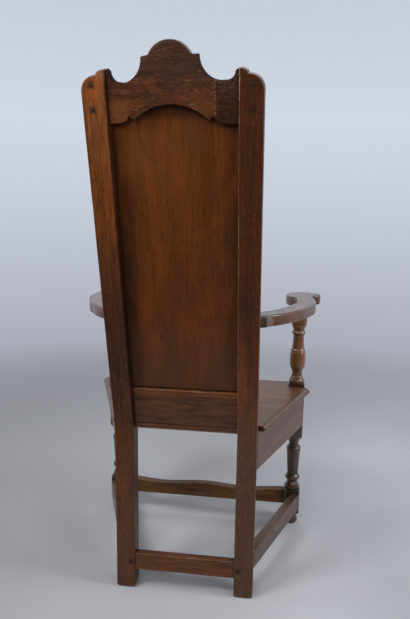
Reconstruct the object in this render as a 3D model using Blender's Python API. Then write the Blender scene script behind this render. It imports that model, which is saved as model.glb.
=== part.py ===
"""High panel-back armchair in joined and pegged wood, seventeen frame pieces and eight pegs.

The chair stands on the floor with +Z up. Its front faces -Y, so the sitter's left is +X.
Heights are measured from the floor. Places along the chair are worked out from the back face of
the rear legs (y = 0, the front is negative) and the whole chair is then centred over the origin.
The raked back has a frame of its own: x across, y minus the depth in from the back face of the
stiles, z the rise along the rake from the bend.
"""

import math

import bmesh
import bpy
from mathutils import Matrix, Vector

# Overall sizes in metres, angles in radians
SEAT_HEIGHT = 0.450
SEAT_THICKNESS = 0.014
ARM_HEIGHT = 0.738
ARM_SLOPE = math.radians(2.3)
ARM_THICKNESS = 0.028
RAKE = math.radians(14.0)
BEND_HEIGHT = 0.440
CLEARANCE = 0.0003

# Rear stiles, each one piece from the floor to the top of the back
BACK_WIDTH = 0.352
STILE_WIDTH = 0.048
STILE_DEPTH = 0.046
SHOULDER_RISE = 0.8137
SHOULDER_RADIUS = 0.030
EAR_RADIUS = 0.0150
EAR_OFFSET = 0.0040
EAR_DROP = 0.0057

# Crest rail, its outline measured from the shoulder of the stiles
CREST_RECESS = 0.008
CREST_THICKNESS = 0.030
LEDGE_ABOVE_SHOULDER = 0.0355
DOME_HEIGHT = 0.0258
DOME_HALF_WIDTH = 0.0405
LEDGE_WIDTH = 0.014
SWEEP_WIDTH = 0.043
SWEEP_DROP = 0.0468
EAR_COVE_RADIUS = 0.0165
ARCH_CROWN_BELOW_SHOULDER = 0.0518
ARCH_HALF_WIDTH = 0.073
ARCH_RISE = 0.0292
NOTCH_WIDTH = 0.012
NOTCH_RISE = 0.0047
LOBE_WIDTH = 0.0195
LOBE_DROP = 0.0108

# Floating back panel and the lower back rail
PANEL_RECESS = 0.024
PANEL_THICKNESS = 0.010
GROOVE_DEPTH = 0.009
PANEL_COVER = 0.010
BACK_RAIL_RECESS = 0.018
BACK_RAIL_THICKNESS = 0.024
BACK_RAIL_HEIGHT = 0.098

# Front posts, each one turning from the foot to the arm
POST_SPACING = 0.5490
POST_REACH = 0.3909
POST_SIZE = 0.047
FOOT_HEIGHT = 0.043
LOWER_BLOCK_HEIGHT = 0.075
UPPER_BLOCK_LENGTH = 0.160
PLINTH_RISE = 0.0055

# Seat rails
APRON_HEIGHT = 0.105
SIDE_APRON_THICKNESS = 0.022
FRONT_APRON_THICKNESS = 0.022
FRONT_APRON_SETBACK = 0.006

# Seat board
SEAT_SIDE_OVERHANG = 0.017
SEAT_FRONT_OVERHANG = 0.011
SEAT_REAR_INSET = 0.020

# Stretchers
REAR_STRETCHER_BOTTOM = 0.0526
REAR_STRETCHER_HEIGHT = 0.0463
REAR_STRETCHER_THICKNESS = 0.0206
REAR_STRETCHER_RECESS = 0.003
SIDE_STRETCHER_BOTTOM = 0.0565
SIDE_STRETCHER_HEIGHT = 0.049
SIDE_STRETCHER_THICKNESS = 0.026
FRONT_STRETCHER_BOTTOM = 0.0655
FRONT_STRETCHER_HEIGHT = 0.046
FRONT_STRETCHER_THICKNESS = 0.024
FRONT_STRETCHER_WAVE = 0.004
FRONT_STRETCHER_DIPS = 2

# Tenons: how far each sinks, how thick it is, and the shoulder left above and below it
BACK_TENON_LENGTH = 0.037
BACK_TENON_THICKNESS = 0.012
CREST_TENON_SHOULDER = 0.008
BACK_RAIL_TENON_SHOULDER = 0.022
STRETCHER_TENON_LENGTH = 0.026
STRETCHER_TENON_THICKNESS = 0.010
STRETCHER_TENON_SHOULDER = 0.009
SIDE_TENON_REAR_LENGTH = 0.022
SIDE_TENON_FRONT_LENGTH = 0.014
SIDE_TENON_THICKNESS = 0.009
SIDE_TENON_INSET = 0.014
APRON_TENON_SHOULDER = 0.016
FRONT_TENON_LENGTH = 0.017
ARM_TENON_LENGTH = 0.024
ARM_TENON_WIDTH = 0.022
ARM_TENON_SHOULDER = 0.007
POST_TENON_RADIUS = 0.009
POST_TENON_LENGTH = 0.018
POST_PAD_RADIUS = 0.021
POST_LET_IN = 0.0015
TENON_ROOT = 0.004

# Pegs through the tenons
PEG_RADIUS = 0.0046
PEG_LENGTH = 0.034
SIDE_PEG_LENGTH = 0.026
PEG_PROUD = 0.0008
CREST_PEG_INSET = 0.0275
CREST_PEG_BELOW_SHOULDER = 0.018
CREST_PEG_PITCH = 0.0454
STRETCHER_PEG_INSET = 0.0105
SIDE_PEG_SETBACK = 0.013
SIDE_PEG_RISE = 0.0185

# Arm outline seen from above. Bow points: share of the way from the stile to the post, and the
# distance out from that line. Head points: out from the post's axis, and forward of it.
ARM_NECK_WIDTH = 0.046
ARM_NECK_REACH = 0.022
ARM_INNER_BOW = ((0.1375, -0.016), (0.228, -0.005), (0.322, 0.012), (0.438, 0.0213), (0.55, 0.0244))
ARM_HEAD = (
    (-0.0160, -0.150),
    (-0.0120, -0.112),
    (-0.0107, -0.074),
    (-0.0147, -0.042),
    (-0.0310, -0.013),
    (-0.0407, 0.021),
    (-0.0365, 0.062),
    (-0.0117, 0.089),
    (0.0143, 0.096),
    (0.0423, 0.086),
    (0.0600, 0.062),
    (0.0560, 0.032),
    (0.0390, 0.015),
    (0.0350, -0.010),
    (0.0393, -0.056),
    (0.0403, -0.095),
    (0.0383, -0.133),
    (0.0313, -0.174),
)
ARM_OUTER_BOW = ((0.4414, 0.0745), (0.349, 0.066), (0.267, 0.0575), (0.197, 0.046), (0.151, 0.0347))
ARM_COVE = (0.014, 0.010)
OUTLINE_STEPS = 3

# Turnings
TURNING_SIDES = 16
CURVE_STEPS = 3
TINY_RISE = 0.0002
FOOT_SOLE_RADIUS = 0.0145
LEG_START_RADIUS = 0.0205
VASE_TOP_RADIUS = 0.0208
BALUSTER_START_RADIUS = 0.0222
NECK_TOP_RADIUS = 0.0151

# Wood colours seen in the photo: linear red, green, blue, and roughness
DARK_OAK = ((0.040, 0.018, 0.010), 0.45)
STILE_BROWN = ((0.085, 0.035, 0.015), 0.42)
PANEL_BROWN = ((0.090, 0.036, 0.014), 0.45)
SEAT_BROWN = ((0.110, 0.060, 0.040), 0.38)
PEG_BROWN = ((0.020, 0.010, 0.006), 0.55)

# Places that follow from the sizes above
HALF_BACK = BACK_WIDTH / 2
HALF_INNER = HALF_BACK - STILE_WIDTH
STILE_CENTRE = HALF_BACK - STILE_WIDTH / 2
HALF_POST = POST_SIZE / 2
POST_X = POST_SPACING / 2
POST_OUTER = POST_X + HALF_POST
POST_INNER = POST_X - HALF_POST
POST_REAR = POST_REACH - HALF_POST
POST_FRONT = POST_REACH + HALF_POST
ARM_REAR = (ARM_HEIGHT - BEND_HEIGHT) * math.tan(RAKE) - STILE_DEPTH / math.cos(RAKE)
ARM_FRAME = Matrix.Translation((0, ARM_REAR, ARM_HEIGHT)) @ Matrix.Rotation(ARM_SLOPE, 4, "X")
ARM_FALL = (POST_REACH + ARM_REAR) * math.tan(ARM_SLOPE)
ARM_SEAT = ARM_HEIGHT - ARM_FALL - ARM_THICKNESS / math.cos(ARM_SLOPE) + POST_LET_IN
RAIL_TOP = SEAT_HEIGHT - SEAT_THICKNESS - CLEARANCE
APRON_BOTTOM = RAIL_TOP - APRON_HEIGHT
SIDE_RUN = POST_REAR - STILE_DEPTH
SPLAY = math.atan2(POST_OUTER - HALF_BACK, SIDE_RUN)
BACK_FRAME = Matrix.Translation((0, 0, BEND_HEIGHT)) @ Matrix.Rotation(-RAKE, 4, "X")
LOW_RISE = SHOULDER_RISE + LEDGE_ABOVE_SHOULDER - SWEEP_DROP
ARCH_CROWN = SHOULDER_RISE - ARCH_CROWN_BELOW_SHOULDER
ARCH_TIP = ARCH_CROWN - ARCH_RISE
NOTCH_RISE_AT = ARCH_TIP + NOTCH_RISE
LOBE_BOTTOM = NOTCH_RISE_AT - LOBE_DROP
BACK_RAIL_TOP = (
    SEAT_HEIGHT + BACK_RAIL_HEIGHT - BEND_HEIGHT - BACK_RAIL_RECESS * math.sin(RAKE)
) / math.cos(RAKE)
SIDES = {"left": 1, "right": -1}

PLANES = {
    "plan": lambda u, v, w: Vector((u, v, w)),
    "face": lambda u, v, w: Vector((u, w, v)),
    "side": lambda u, v, w: Vector((w, u, v)),
}


def clear_scene():
    for obj in list(bpy.data.objects):
        bpy.data.objects.remove(obj)


def wood(name, tone):
    """A Principled wood finish of one colour and roughness."""
    colour, roughness = tone
    material = bpy.data.materials.new(f"{name}_wood")
    material.use_nodes = True
    shader = material.node_tree.nodes["Principled BSDF"]
    shader.inputs["Base Color"].default_value = (*colour, 1.0)
    shader.inputs["Roughness"].default_value = roughness
    shader.inputs["Metallic"].default_value = 0.0
    return material


def add_object(name, bm, root, frame=None):
    """Put a bmesh in the scene under the chair's empty, standing in the given frame."""
    bmesh.ops.recalc_face_normals(bm, faces=bm.faces)
    if bm.calc_volume(signed=True) < 0:
        bmesh.ops.reverse_faces(bm, faces=bm.faces)
    mesh = bpy.data.meshes.new(name)
    bm.to_mesh(mesh)
    bm.free()
    obj = bpy.data.objects.new(name, mesh)
    bpy.context.collection.objects.link(obj)
    obj.parent = root
    if frame is not None:
        obj.matrix_basis = frame
    return obj


def add_piece(name, bm, root, tone, frame=None):
    obj = add_object(name, bm, root, frame)
    obj.data.materials.append(wood(name, tone))
    return obj


def combine(piece, bm, operation, frame=None):
    """Cut a hidden shape out of a piece, or join it on."""
    tool = add_object(f"{piece.name}_tool_{len(piece.modifiers)}", bm, piece.parent, frame)
    tool.hide_render = True
    tool.display_type = "WIRE"
    modifier = piece.modifiers.new(tool.name, "BOOLEAN")
    modifier.operation = operation
    modifier.solver = "EXACT"
    modifier.object = tool


def cut(piece, bm, frame=None):
    combine(piece, bm, "DIFFERENCE", frame)


def join(piece, bm, frame=None):
    combine(piece, bm, "UNION", frame)


def prism(outline, start, end, plane):
    """An outline drawn in one plane, extruded from start to end across it."""
    place = PLANES[plane]
    bm = bmesh.new()
    cap = bm.faces.new([bm.verts.new(place(u, v, start)) for u, v in outline])
    grown = bmesh.ops.extrude_face_region(bm, geom=[cap])
    moved = [part for part in grown["geom"] if isinstance(part, bmesh.types.BMVert)]
    bmesh.ops.translate(bm, verts=moved, vec=place(0, 0, end - start))
    return bm


def block(x, y, z, grow=0.0):
    """A box between the two ends of each range, larger by grow all round."""
    (x0, x1), (y0, y1), (z0, z1) = (sorted(ends) for ends in (x, y, z))
    outline = [
        (x0 - grow, y0 - grow),
        (x1 + grow, y0 - grow),
        (x1 + grow, y1 + grow),
        (x0 - grow, y1 + grow),
    ]
    return prism(outline, z0 - grow, z1 + grow, "plan")


def rod(start, end, radius, sides=12):
    """A straight round bar between two points."""
    start, end = Vector(start), Vector(end)
    bm = bmesh.new()
    bmesh.ops.create_cone(
        bm,
        cap_ends=True,
        segments=sides,
        radius1=radius,
        radius2=radius,
        depth=(end - start).length,
    )
    turn = Vector((0, 0, 1)).rotation_difference(end - start).to_matrix().to_4x4()
    bm.transform(Matrix.Translation((start + end) / 2) @ turn)
    return bm


def arc(centre, radii, first, last, steps):
    """Points along an ellipse's arc, angles in degrees from +u."""
    points = []
    for step in range(steps + 1):
        angle = math.radians(first + (last - first) * step / steps)
        u = centre[0] + radii[0] * math.cos(angle)
        points.append((u, centre[1] + radii[1] * math.sin(angle)))
    return points


def smooth(points, steps):
    """A Catmull-Rom curve through the points, open at both ends."""
    ends = [points[0], *points, points[-1]]
    curve = []
    for a, b, c, d in zip(ends, ends[1:], ends[2:], ends[3:]):
        for step in range(steps):
            t = step / steps
            curve.append(
                tuple(
                    0.5 * (2 * q + (r - p) * t + (2 * p - 5 * q + 4 * r - s) * t * t)
                    + 0.5 * (3 * q - p - 3 * r + s) * t * t * t
                    for p, q, r, s in zip(a, b, c, d)
                )
            )
    curve.append(points[-1])
    return curve


def mirrored(outline, side):
    return [(side * u, v) for u, v in outline]


def tenon(piece, mortised, ranges, frame=None):
    """Join a tenon to a piece and sink its mortise in the other."""
    join(piece, block(*ranges), frame)
    cut(mortised, block(*ranges, grow=CLEARANCE), frame)


def peg(name, root, start, direction, length, holed, frame=None):
    """A peg whose head stands a little proud, with its hole through the pieces that it pins."""
    start, direction = Vector(start), Vector(direction)
    head = start - direction * PEG_PROUD
    end = start + direction * length
    add_piece(name, rod(head, end, PEG_RADIUS), root, PEG_BROWN, frame)
    for piece in holed:
        cut(piece, rod(head, end + direction * CLEARANCE, PEG_RADIUS + CLEARANCE), frame)


def ear_centre():
    return (HALF_INNER + EAR_OFFSET, SHOULDER_RISE - EAR_DROP)


def crest_outline():
    """Half of the crest's outline, from the dome's top round to the arch's crown."""
    end = HALF_INNER - CLEARANCE
    ledge = SHOULDER_RISE + LEDGE_ABOVE_SHOULDER
    dome_radius = (DOME_HALF_WIDTH**2 + DOME_HEIGHT**2) / (2 * DOME_HEIGHT)
    dome_centre = (0.0, ledge + DOME_HEIGHT - dome_radius)
    spread = math.degrees(math.asin(DOME_HALF_WIDTH / dome_radius))
    corner = DOME_HALF_WIDTH + LEDGE_WIDTH
    ear = ear_centre()
    cove_height = LOW_RISE + EAR_COVE_RADIUS
    ear_side = ear[0] - math.sqrt(EAR_RADIUS**2 - (cove_height - ear[1]) ** 2)
    join_angle = math.degrees(math.acos((ear_side - ear[0]) / EAR_RADIUS))
    end_angle = math.degrees(math.acos((end - ear[0]) / EAR_RADIUS))
    cove_centre = (ear_side - EAR_COVE_RADIUS, cove_height)
    points = arc(dome_centre, (dome_radius,) * 2, 90, 90 - spread, 6)
    points += arc((corner + SWEEP_WIDTH, ledge), (SWEEP_WIDTH, SWEEP_DROP), 180, 270, 6)
    points += arc(cove_centre, (EAR_COVE_RADIUS,) * 2, 270, 360, 4)
    points += arc(ear, (EAR_RADIUS,) * 2, join_angle, end_angle, 3)[1:]
    arch_radius = (ARCH_HALF_WIDTH**2 + ARCH_RISE**2) / (2 * ARCH_RISE)
    arch_spread = math.degrees(math.asin(ARCH_HALF_WIDTH / arch_radius))
    lobe_centre = (ARCH_HALF_WIDTH + NOTCH_WIDTH + LOBE_WIDTH, NOTCH_RISE_AT)
    points.append((end, LOBE_BOTTOM))
    points += arc(lobe_centre, (LOBE_WIDTH, LOBE_DROP), 270, 180, 4)
    arch_centre = (0.0, ARCH_CROWN - arch_radius)
    points += arc(arch_centre, (arch_radius,) * 2, 90 - arch_spread, 90, 6)
    return points


def stile_waste(side):
    """What is cut from the top of a stile to leave its half of the ear and its round shoulder."""
    ear = ear_centre()
    first = math.degrees(math.acos(-EAR_OFFSET / EAR_RADIUS))
    last = math.degrees(math.asin(EAR_DROP / EAR_RADIUS))
    margin = STILE_WIDTH
    top = SHOULDER_RISE + margin
    outline = [(HALF_INNER - margin, ear[1] + EAR_RADIUS * math.sin(math.radians(first)))]
    outline += arc(ear, (EAR_RADIUS,) * 2, first, last, 6)
    round_centre = (HALF_BACK - SHOULDER_RADIUS, SHOULDER_RISE - SHOULDER_RADIUS)
    outline += arc(round_centre, (SHOULDER_RADIUS,) * 2, 90, 0, 6)
    outline += [
        (HALF_BACK + margin, round_centre[1]),
        (HALF_BACK + margin, top),
        (HALF_INNER - margin, top),
    ]
    return prism(mirrored(outline, side), margin, -STILE_DEPTH - margin, "face")


def raked(rise, depth):
    """Back-frame rise and depth as a y and z of the chair."""
    y = rise * math.sin(RAKE) - depth * math.cos(RAKE)
    return y, BEND_HEIGHT + rise * math.cos(RAKE) + depth * math.sin(RAKE)


def make_stile(name, side, root):
    top = SHOULDER_RISE + 2 * EAR_RADIUS
    front_bend = BEND_HEIGHT + STILE_DEPTH * math.tan(RAKE / 2)
    outline = [
        (0.0, 0.0),
        (0.0, BEND_HEIGHT),
        raked(top, 0.0),
        raked(top, STILE_DEPTH),
        (-STILE_DEPTH, front_bend),
        (-STILE_DEPTH, 0.0),
    ]
    bm = prism(outline, side * HALF_INNER, side * HALF_BACK, "side")
    stile = add_piece(name, bm, root, STILE_BROWN)
    cut(stile, stile_waste(side), BACK_FRAME)
    return stile


def make_crest(root, stiles):
    half = crest_outline()
    outline = half + mirrored(half[-2:0:-1], -1)
    back = -CREST_RECESS
    front = back - CREST_THICKNESS
    crest = add_piece(
        "crest_rail", prism(outline, back, front, "face"), root, DARK_OAK, BACK_FRAME
    )
    middle = (back + front) / 2
    thick = (middle - BACK_TENON_THICKNESS / 2, middle + BACK_TENON_THICKNESS / 2)
    rise = (LOBE_BOTTOM + CREST_TENON_SHOULDER, LOW_RISE - CREST_TENON_SHOULDER / 2)
    for label, side in SIDES.items():
        across = (side * (HALF_INNER - TENON_ROOT), side * (HALF_INNER + BACK_TENON_LENGTH))
        tenon(crest, stiles[label], (across, thick, rise), BACK_FRAME)
    return crest


def make_back_rail(root, stiles):
    rise = BACK_RAIL_TOP
    foot = SEAT_HEIGHT + CLEARANCE
    back, front = BACK_RAIL_RECESS, BACK_RAIL_RECESS + BACK_RAIL_THICKNESS
    slope = math.tan(RAKE)
    outline = [
        raked(rise, back),
        raked(rise, front),
        ((foot - BEND_HEIGHT) * slope - front / math.cos(RAKE), foot),
        ((foot - BEND_HEIGHT) * slope - back / math.cos(RAKE), foot),
    ]
    end = HALF_INNER - CLEARANCE
    rail = add_piece("lower_back_rail", prism(outline, -end, end, "side"), root, STILE_BROWN)
    middle = -(back + front) / 2
    thick = (middle - BACK_TENON_THICKNESS / 2, middle + BACK_TENON_THICKNESS / 2)
    lowest = (foot - BEND_HEIGHT) / math.cos(RAKE)
    span = (lowest + BACK_RAIL_TENON_SHOULDER, rise - GROOVE_DEPTH - BACK_RAIL_TENON_SHOULDER / 2)
    for label, side in SIDES.items():
        across = (side * (HALF_INNER - TENON_ROOT), side * (HALF_INNER + BACK_TENON_LENGTH))
        tenon(rail, stiles[label], (across, thick, span), BACK_FRAME)
    return rail


def panel_outline(grow):
    """The panel: tongues in the stiles, and a narrower head that rises into the crest."""
    wide = HALF_INNER + GROOVE_DEPTH - CLEARANCE + grow
    narrow = HALF_INNER - GROOVE_DEPTH + grow
    bottom = BACK_RAIL_TOP - GROOVE_DEPTH + CLEARANCE - grow
    shoulder = LOBE_BOTTOM - CLEARANCE + grow
    top = ARCH_CROWN + PANEL_COVER + grow
    half = [(wide, bottom), (wide, shoulder), (narrow, shoulder), (narrow, top)]
    return half + mirrored(half[::-1], -1)


def make_panel(root, holders):
    back = -PANEL_RECESS
    front = back - PANEL_THICKNESS
    add_piece(
        "back_panel", prism(panel_outline(0.0), back, front, "face"), root, PANEL_BROWN, BACK_FRAME
    )
    for holder in holders:
        groove = prism(panel_outline(CLEARANCE), back + CLEARANCE, front - CLEARANCE, "face")
        cut(holder, groove, BACK_FRAME)


def straight(t):
    return t


def hollow(t):
    return 1 - math.cos(math.pi * t / 2)


def swell(t):
    return math.sin(math.pi * t / 2)


def ogee(t):
    return (1 - math.cos(math.pi * t)) / 2


# A turner's runs from below: height, radius at the end of the run, and the shape of the change
SQUARE_CORNER = HALF_POST * math.sqrt(2)
FOOT_RUNS = (
    (0.011, 0.0205, swell),
    (0.010, 0.0172, hollow),
    (0.002, 0.0172, straight),
)
BELL_AND_RING_RUNS = (
    (TINY_RISE, LEG_START_RADIUS, straight),
    (0.004, 0.0215, swell),
    (0.0175, 0.0150, hollow),
    (0.004, 0.0148, straight),
    (0.0085, 0.0216, swell),
    (0.004, 0.0216, straight),
    (0.009, 0.0160, hollow),
)
LEG_TOP_RUNS = (
    (0.0015, 0.0213, swell),
    (0.006, 0.0213, straight),
    (0.0075, 0.0146, hollow),
    (0.0035, 0.0142, straight),
    (0.0335, SQUARE_CORNER, hollow),
)
BALUSTER_RUNS = (
    (TINY_RISE, BALUSTER_START_RADIUS, straight),
    (0.0045, 0.0233, swell),
    (0.0120, 0.0200, hollow),
    (0.0010, 0.0186, straight),
    (0.0015, 0.0192, swell),
    (0.0055, 0.0158, hollow),
    (0.0030, 0.0150, swell),
    (0.0080, 0.0150, straight),
    (0.0220, 0.0224, ogee),
    (0.0145, 0.0233, swell),
    (0.0265, 0.0218, hollow),
    (0.0012, 0.0210, straight),
    (0.0014, 0.0214, swell),
    (0.0080, 0.0180, hollow),
)
BALUSTER_TOP_RUNS = (
    (0.0010, 0.0146, straight),
    (0.0065, 0.0198, swell),
    (0.0065, 0.0166, hollow),
    (0.0030, 0.0163, straight),
    (0.0180, 0.0220, swell),
    (0.0012, 0.0206, straight),
    (0.0012, 0.0230, straight),
    (0.0346, 0.0230, straight),
    (0.0080, 0.0190, hollow),
    (0.0030, 0.0190, straight),
    (0.0010, POST_PAD_RADIUS, straight),
    (0.0077, POST_PAD_RADIUS, straight),
)


def run_height(runs):
    return sum(height for height, _, _ in runs)


def turn(levels, runs):
    """Add a turner's runs to the levels, each from the radius where the last one ended."""
    for height, radius, shape in runs:
        low, start = levels[-1]
        steps = 1 if shape is straight else CURVE_STEPS
        for step in range(1, steps + 1):
            t = step / steps
            levels.append((low + height * t, start + (radius - start) * shape(t)))


def turn_to(levels, top, radius, shape):
    turn(levels, [(top - levels[-1][0], radius, shape)])


def square_to(levels, top):
    """A square length: its radius is past the corners, so the section is the whole square."""
    levels.append((levels[-1][0] + TINY_RISE, POST_SIZE))
    levels.append((top, POST_SIZE))


def post_levels():
    """Height and turned radius of every section of a front post, from the sole to the tenon."""
    levels = [(0.0, FOOT_SOLE_RADIUS)]
    turn(levels, FOOT_RUNS)
    turn_to(levels, FOOT_HEIGHT, SQUARE_CORNER, hollow)
    square_to(levels, FOOT_HEIGHT + LOWER_BLOCK_HEIGHT)
    turn(levels, BELL_AND_RING_RUNS)
    plinth_top = SEAT_HEIGHT + PLINTH_RISE
    vase_top = plinth_top - UPPER_BLOCK_LENGTH - run_height(LEG_TOP_RUNS)
    turn_to(levels, vase_top, VASE_TOP_RADIUS, straight)
    turn(levels, LEG_TOP_RUNS)
    square_to(levels, plinth_top)
    turn(levels, BALUSTER_RUNS)
    turn_to(levels, ARM_SEAT - run_height(BALUSTER_TOP_RUNS), NECK_TOP_RADIUS, swell)
    turn(levels, BALUSTER_TOP_RUNS)
    turn(levels, [(TINY_RISE, POST_TENON_RADIUS, straight)])
    turn(levels, [(POST_TENON_LENGTH, POST_TENON_RADIUS, straight)])
    return levels


def make_post(name, side, root):
    """Sections of a square bar worked down to the turned radius wherever that is smaller."""
    bm = bmesh.new()
    rings = []
    for z, radius in post_levels():
        ring = []
        for step in range(TURNING_SIDES):
            angle = 2 * math.pi * step / TURNING_SIDES
            flat = max(abs(math.cos(angle)), abs(math.sin(angle)))
            reach = min(radius, HALF_POST / flat)
            x = side * POST_X + reach * math.cos(angle)
            ring.append(bm.verts.new((x, -POST_REACH + reach * math.sin(angle), z)))
        rings.append(ring)
    for low, high in zip(rings, rings[1:]):
        for step in range(TURNING_SIDES):
            after = (step + 1) % TURNING_SIDES
            bm.faces.new((low[step], low[after], high[after], high[step]))
    bm.faces.new(rings[0][::-1])
    bm.faces.new(rings[-1])
    return add_piece(name, bm, root, STILE_BROWN)


def side_frame(side):
    """Frame of a splayed side: its origin at the stile's outer front corner, -y along the rail."""
    corner = Matrix.Translation((side * HALF_BACK, -STILE_DEPTH, 0))
    return corner @ Matrix.Rotation(side * SPLAY, 4, "Z")


def make_side_rail(name, side, thickness, heights, shoulder, root, stile, post):
    """A splayed rail whose outer face is flush with the stile and the post at its ends."""
    lean = math.tan(SPLAY)
    rear, front = STILE_DEPTH + CLEARANCE, POST_REAR - CLEARANCE
    inward = thickness / math.cos(SPLAY)
    outer = [(HALF_BACK + (y - STILE_DEPTH) * lean, -y) for y in (rear, front)]
    inner = [(x - inward, y) for x, y in outer[::-1]]
    outline = mirrored(outer + inner, side)
    rail = add_piece(name, prism(outline, *heights, "plan"), root, SEAT_BROWN)
    frame = side_frame(side)
    near = SIDE_TENON_INSET - SIDE_TENON_THICKNESS / 2
    far = SIDE_TENON_INSET + SIDE_TENON_THICKNESS / 2
    across = (-side * near, -side * far)
    tall = (heights[0] + shoulder, heights[1] - shoulder)
    length = SIDE_RUN / math.cos(SPLAY)
    rear_face = SIDE_TENON_INSET * lean
    front_face = rear_face - length
    rear_tenon = (across, (rear_face + SIDE_TENON_REAR_LENGTH, -TENON_ROOT), tall)
    front_root = far * lean - length + TENON_ROOT
    front_tenon = (across, (front_face - SIDE_TENON_FRONT_LENGTH, front_root), tall)
    tenon(rail, stile, rear_tenon, frame)
    tenon(rail, post, front_tenon, frame)
    return rail


def make_rear_stretcher(root, stiles):
    top = REAR_STRETCHER_BOTTOM + REAR_STRETCHER_HEIGHT
    back = -REAR_STRETCHER_RECESS
    front = back - REAR_STRETCHER_THICKNESS
    end = HALF_INNER - CLEARANCE
    bm = block((-end, end), (back, front), (REAR_STRETCHER_BOTTOM, top))
    stretcher = add_piece("rear_stretcher", bm, root, STILE_BROWN)
    middle = (back + front) / 2
    thick = (middle - STRETCHER_TENON_THICKNESS / 2, middle + STRETCHER_TENON_THICKNESS / 2)
    tall = (REAR_STRETCHER_BOTTOM + STRETCHER_TENON_SHOULDER, top - STRETCHER_TENON_SHOULDER)
    for label, side in SIDES.items():
        across = (side * (HALF_INNER - TENON_ROOT), side * (HALF_INNER + STRETCHER_TENON_LENGTH))
        tenon(stretcher, stiles[label], (across, thick, tall))
    return stretcher


def wave_outline():
    """The front stretcher's face: straight below, two shallow dips along the top."""
    end = POST_INNER - CLEARANCE
    steps = 24
    top = FRONT_STRETCHER_BOTTOM + FRONT_STRETCHER_HEIGHT
    outline = [(-end, FRONT_STRETCHER_BOTTOM), (end, FRONT_STRETCHER_BOTTOM)]
    for step in range(steps + 1):
        x = end - 2 * end * step / steps
        dip = 1 - math.cos(2 * math.pi * FRONT_STRETCHER_DIPS * step / steps)
        outline.append((x, top - FRONT_STRETCHER_WAVE * dip))
    return outline


def make_front_rail(name, bm, y_middle, heights, shoulder, root, posts):
    rail = add_piece(name, bm, root, STILE_BROWN)
    thick = (y_middle - STRETCHER_TENON_THICKNESS / 2, y_middle + STRETCHER_TENON_THICKNESS / 2)
    tall = (heights[0] + shoulder, heights[1] - shoulder)
    for label, side in SIDES.items():
        across = (side * (POST_INNER - TENON_ROOT), side * (POST_INNER + FRONT_TENON_LENGTH))
        tenon(rail, posts[label], (across, thick, tall))
    return rail


def make_front_rails(root, posts):
    half = FRONT_STRETCHER_THICKNESS / 2
    bm = prism(wave_outline(), -POST_REACH + half, -POST_REACH - half, "face")
    top = FRONT_STRETCHER_BOTTOM + FRONT_STRETCHER_HEIGHT - 2 * FRONT_STRETCHER_WAVE
    span = (FRONT_STRETCHER_BOTTOM, top)
    make_front_rail(
        "front_stretcher", bm, -POST_REACH, span, STRETCHER_TENON_SHOULDER, root, posts
    )
    end = POST_INNER - CLEARANCE
    front = -POST_FRONT + FRONT_APRON_SETBACK
    back = front + FRONT_APRON_THICKNESS
    span = (APRON_BOTTOM, RAIL_TOP)
    bm = block((-end, end), (front, back), span)
    make_front_rail(
        "front_apron", bm, (front + back) / 2, span, APRON_TENON_SHOULDER, root, posts
    )


def make_seat(root):
    """One board notched round the stiles and the posts, its edge overhanging the rails."""
    lean = math.tan(SPLAY)
    out = SEAT_SIDE_OVERHANG / math.cos(SPLAY)
    stile_front = STILE_DEPTH + CLEARANCE
    post_rear = POST_REAR - CLEARANCE
    half = [
        (HALF_INNER - CLEARANCE, -SEAT_REAR_INSET),
        (HALF_INNER - CLEARANCE, -stile_front),
        (HALF_BACK + out, -stile_front),
        (HALF_BACK + (post_rear - STILE_DEPTH) * lean + out, -post_rear),
        (POST_INNER - CLEARANCE, -post_rear),
        (POST_INNER - CLEARANCE, -POST_FRONT - SEAT_FRONT_OVERHANG),
    ]
    outline = half + mirrored(half[::-1], -1)
    bm = prism(outline, SEAT_HEIGHT - SEAT_THICKNESS, SEAT_HEIGHT, "plan")
    add_piece("seat_board", bm, root, SEAT_BROWN)


def arm_outline():
    """The arm from above on the +X side, in x and y of the arm's own frame."""
    start = Vector((STILE_CENTRE, -ARM_REAR))
    post = Vector((POST_X, POST_REACH))
    along = post - start
    out = Vector((along.y, -along.x)).normalized()
    inner_neck = STILE_CENTRE - ARM_NECK_WIDTH / 2
    outer_neck = STILE_CENTRE + ARM_NECK_WIDTH / 2
    reach = start.y + ARM_NECK_REACH
    inner = [(inner_neck, reach)]
    inner += [tuple(start + along * share + out * offset) for share, offset in ARM_INNER_BOW]
    head = [(post.x + dx, post.y + dy) for dx, dy in ARM_HEAD]
    outer = [tuple(start + along * share + out * offset) for share, offset in ARM_OUTER_BOW]
    cove = [(outer_neck + ARM_COVE[0], reach + ARM_COVE[1]), (outer_neck, reach)]
    edge = smooth(inner + head + outer, OUTLINE_STEPS) + cove
    rear = start.y - STILE_DEPTH
    full = [(inner_neck, rear), *edge, (outer_neck, rear)]
    return [(x, start.y - y) for x, y in full]


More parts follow.
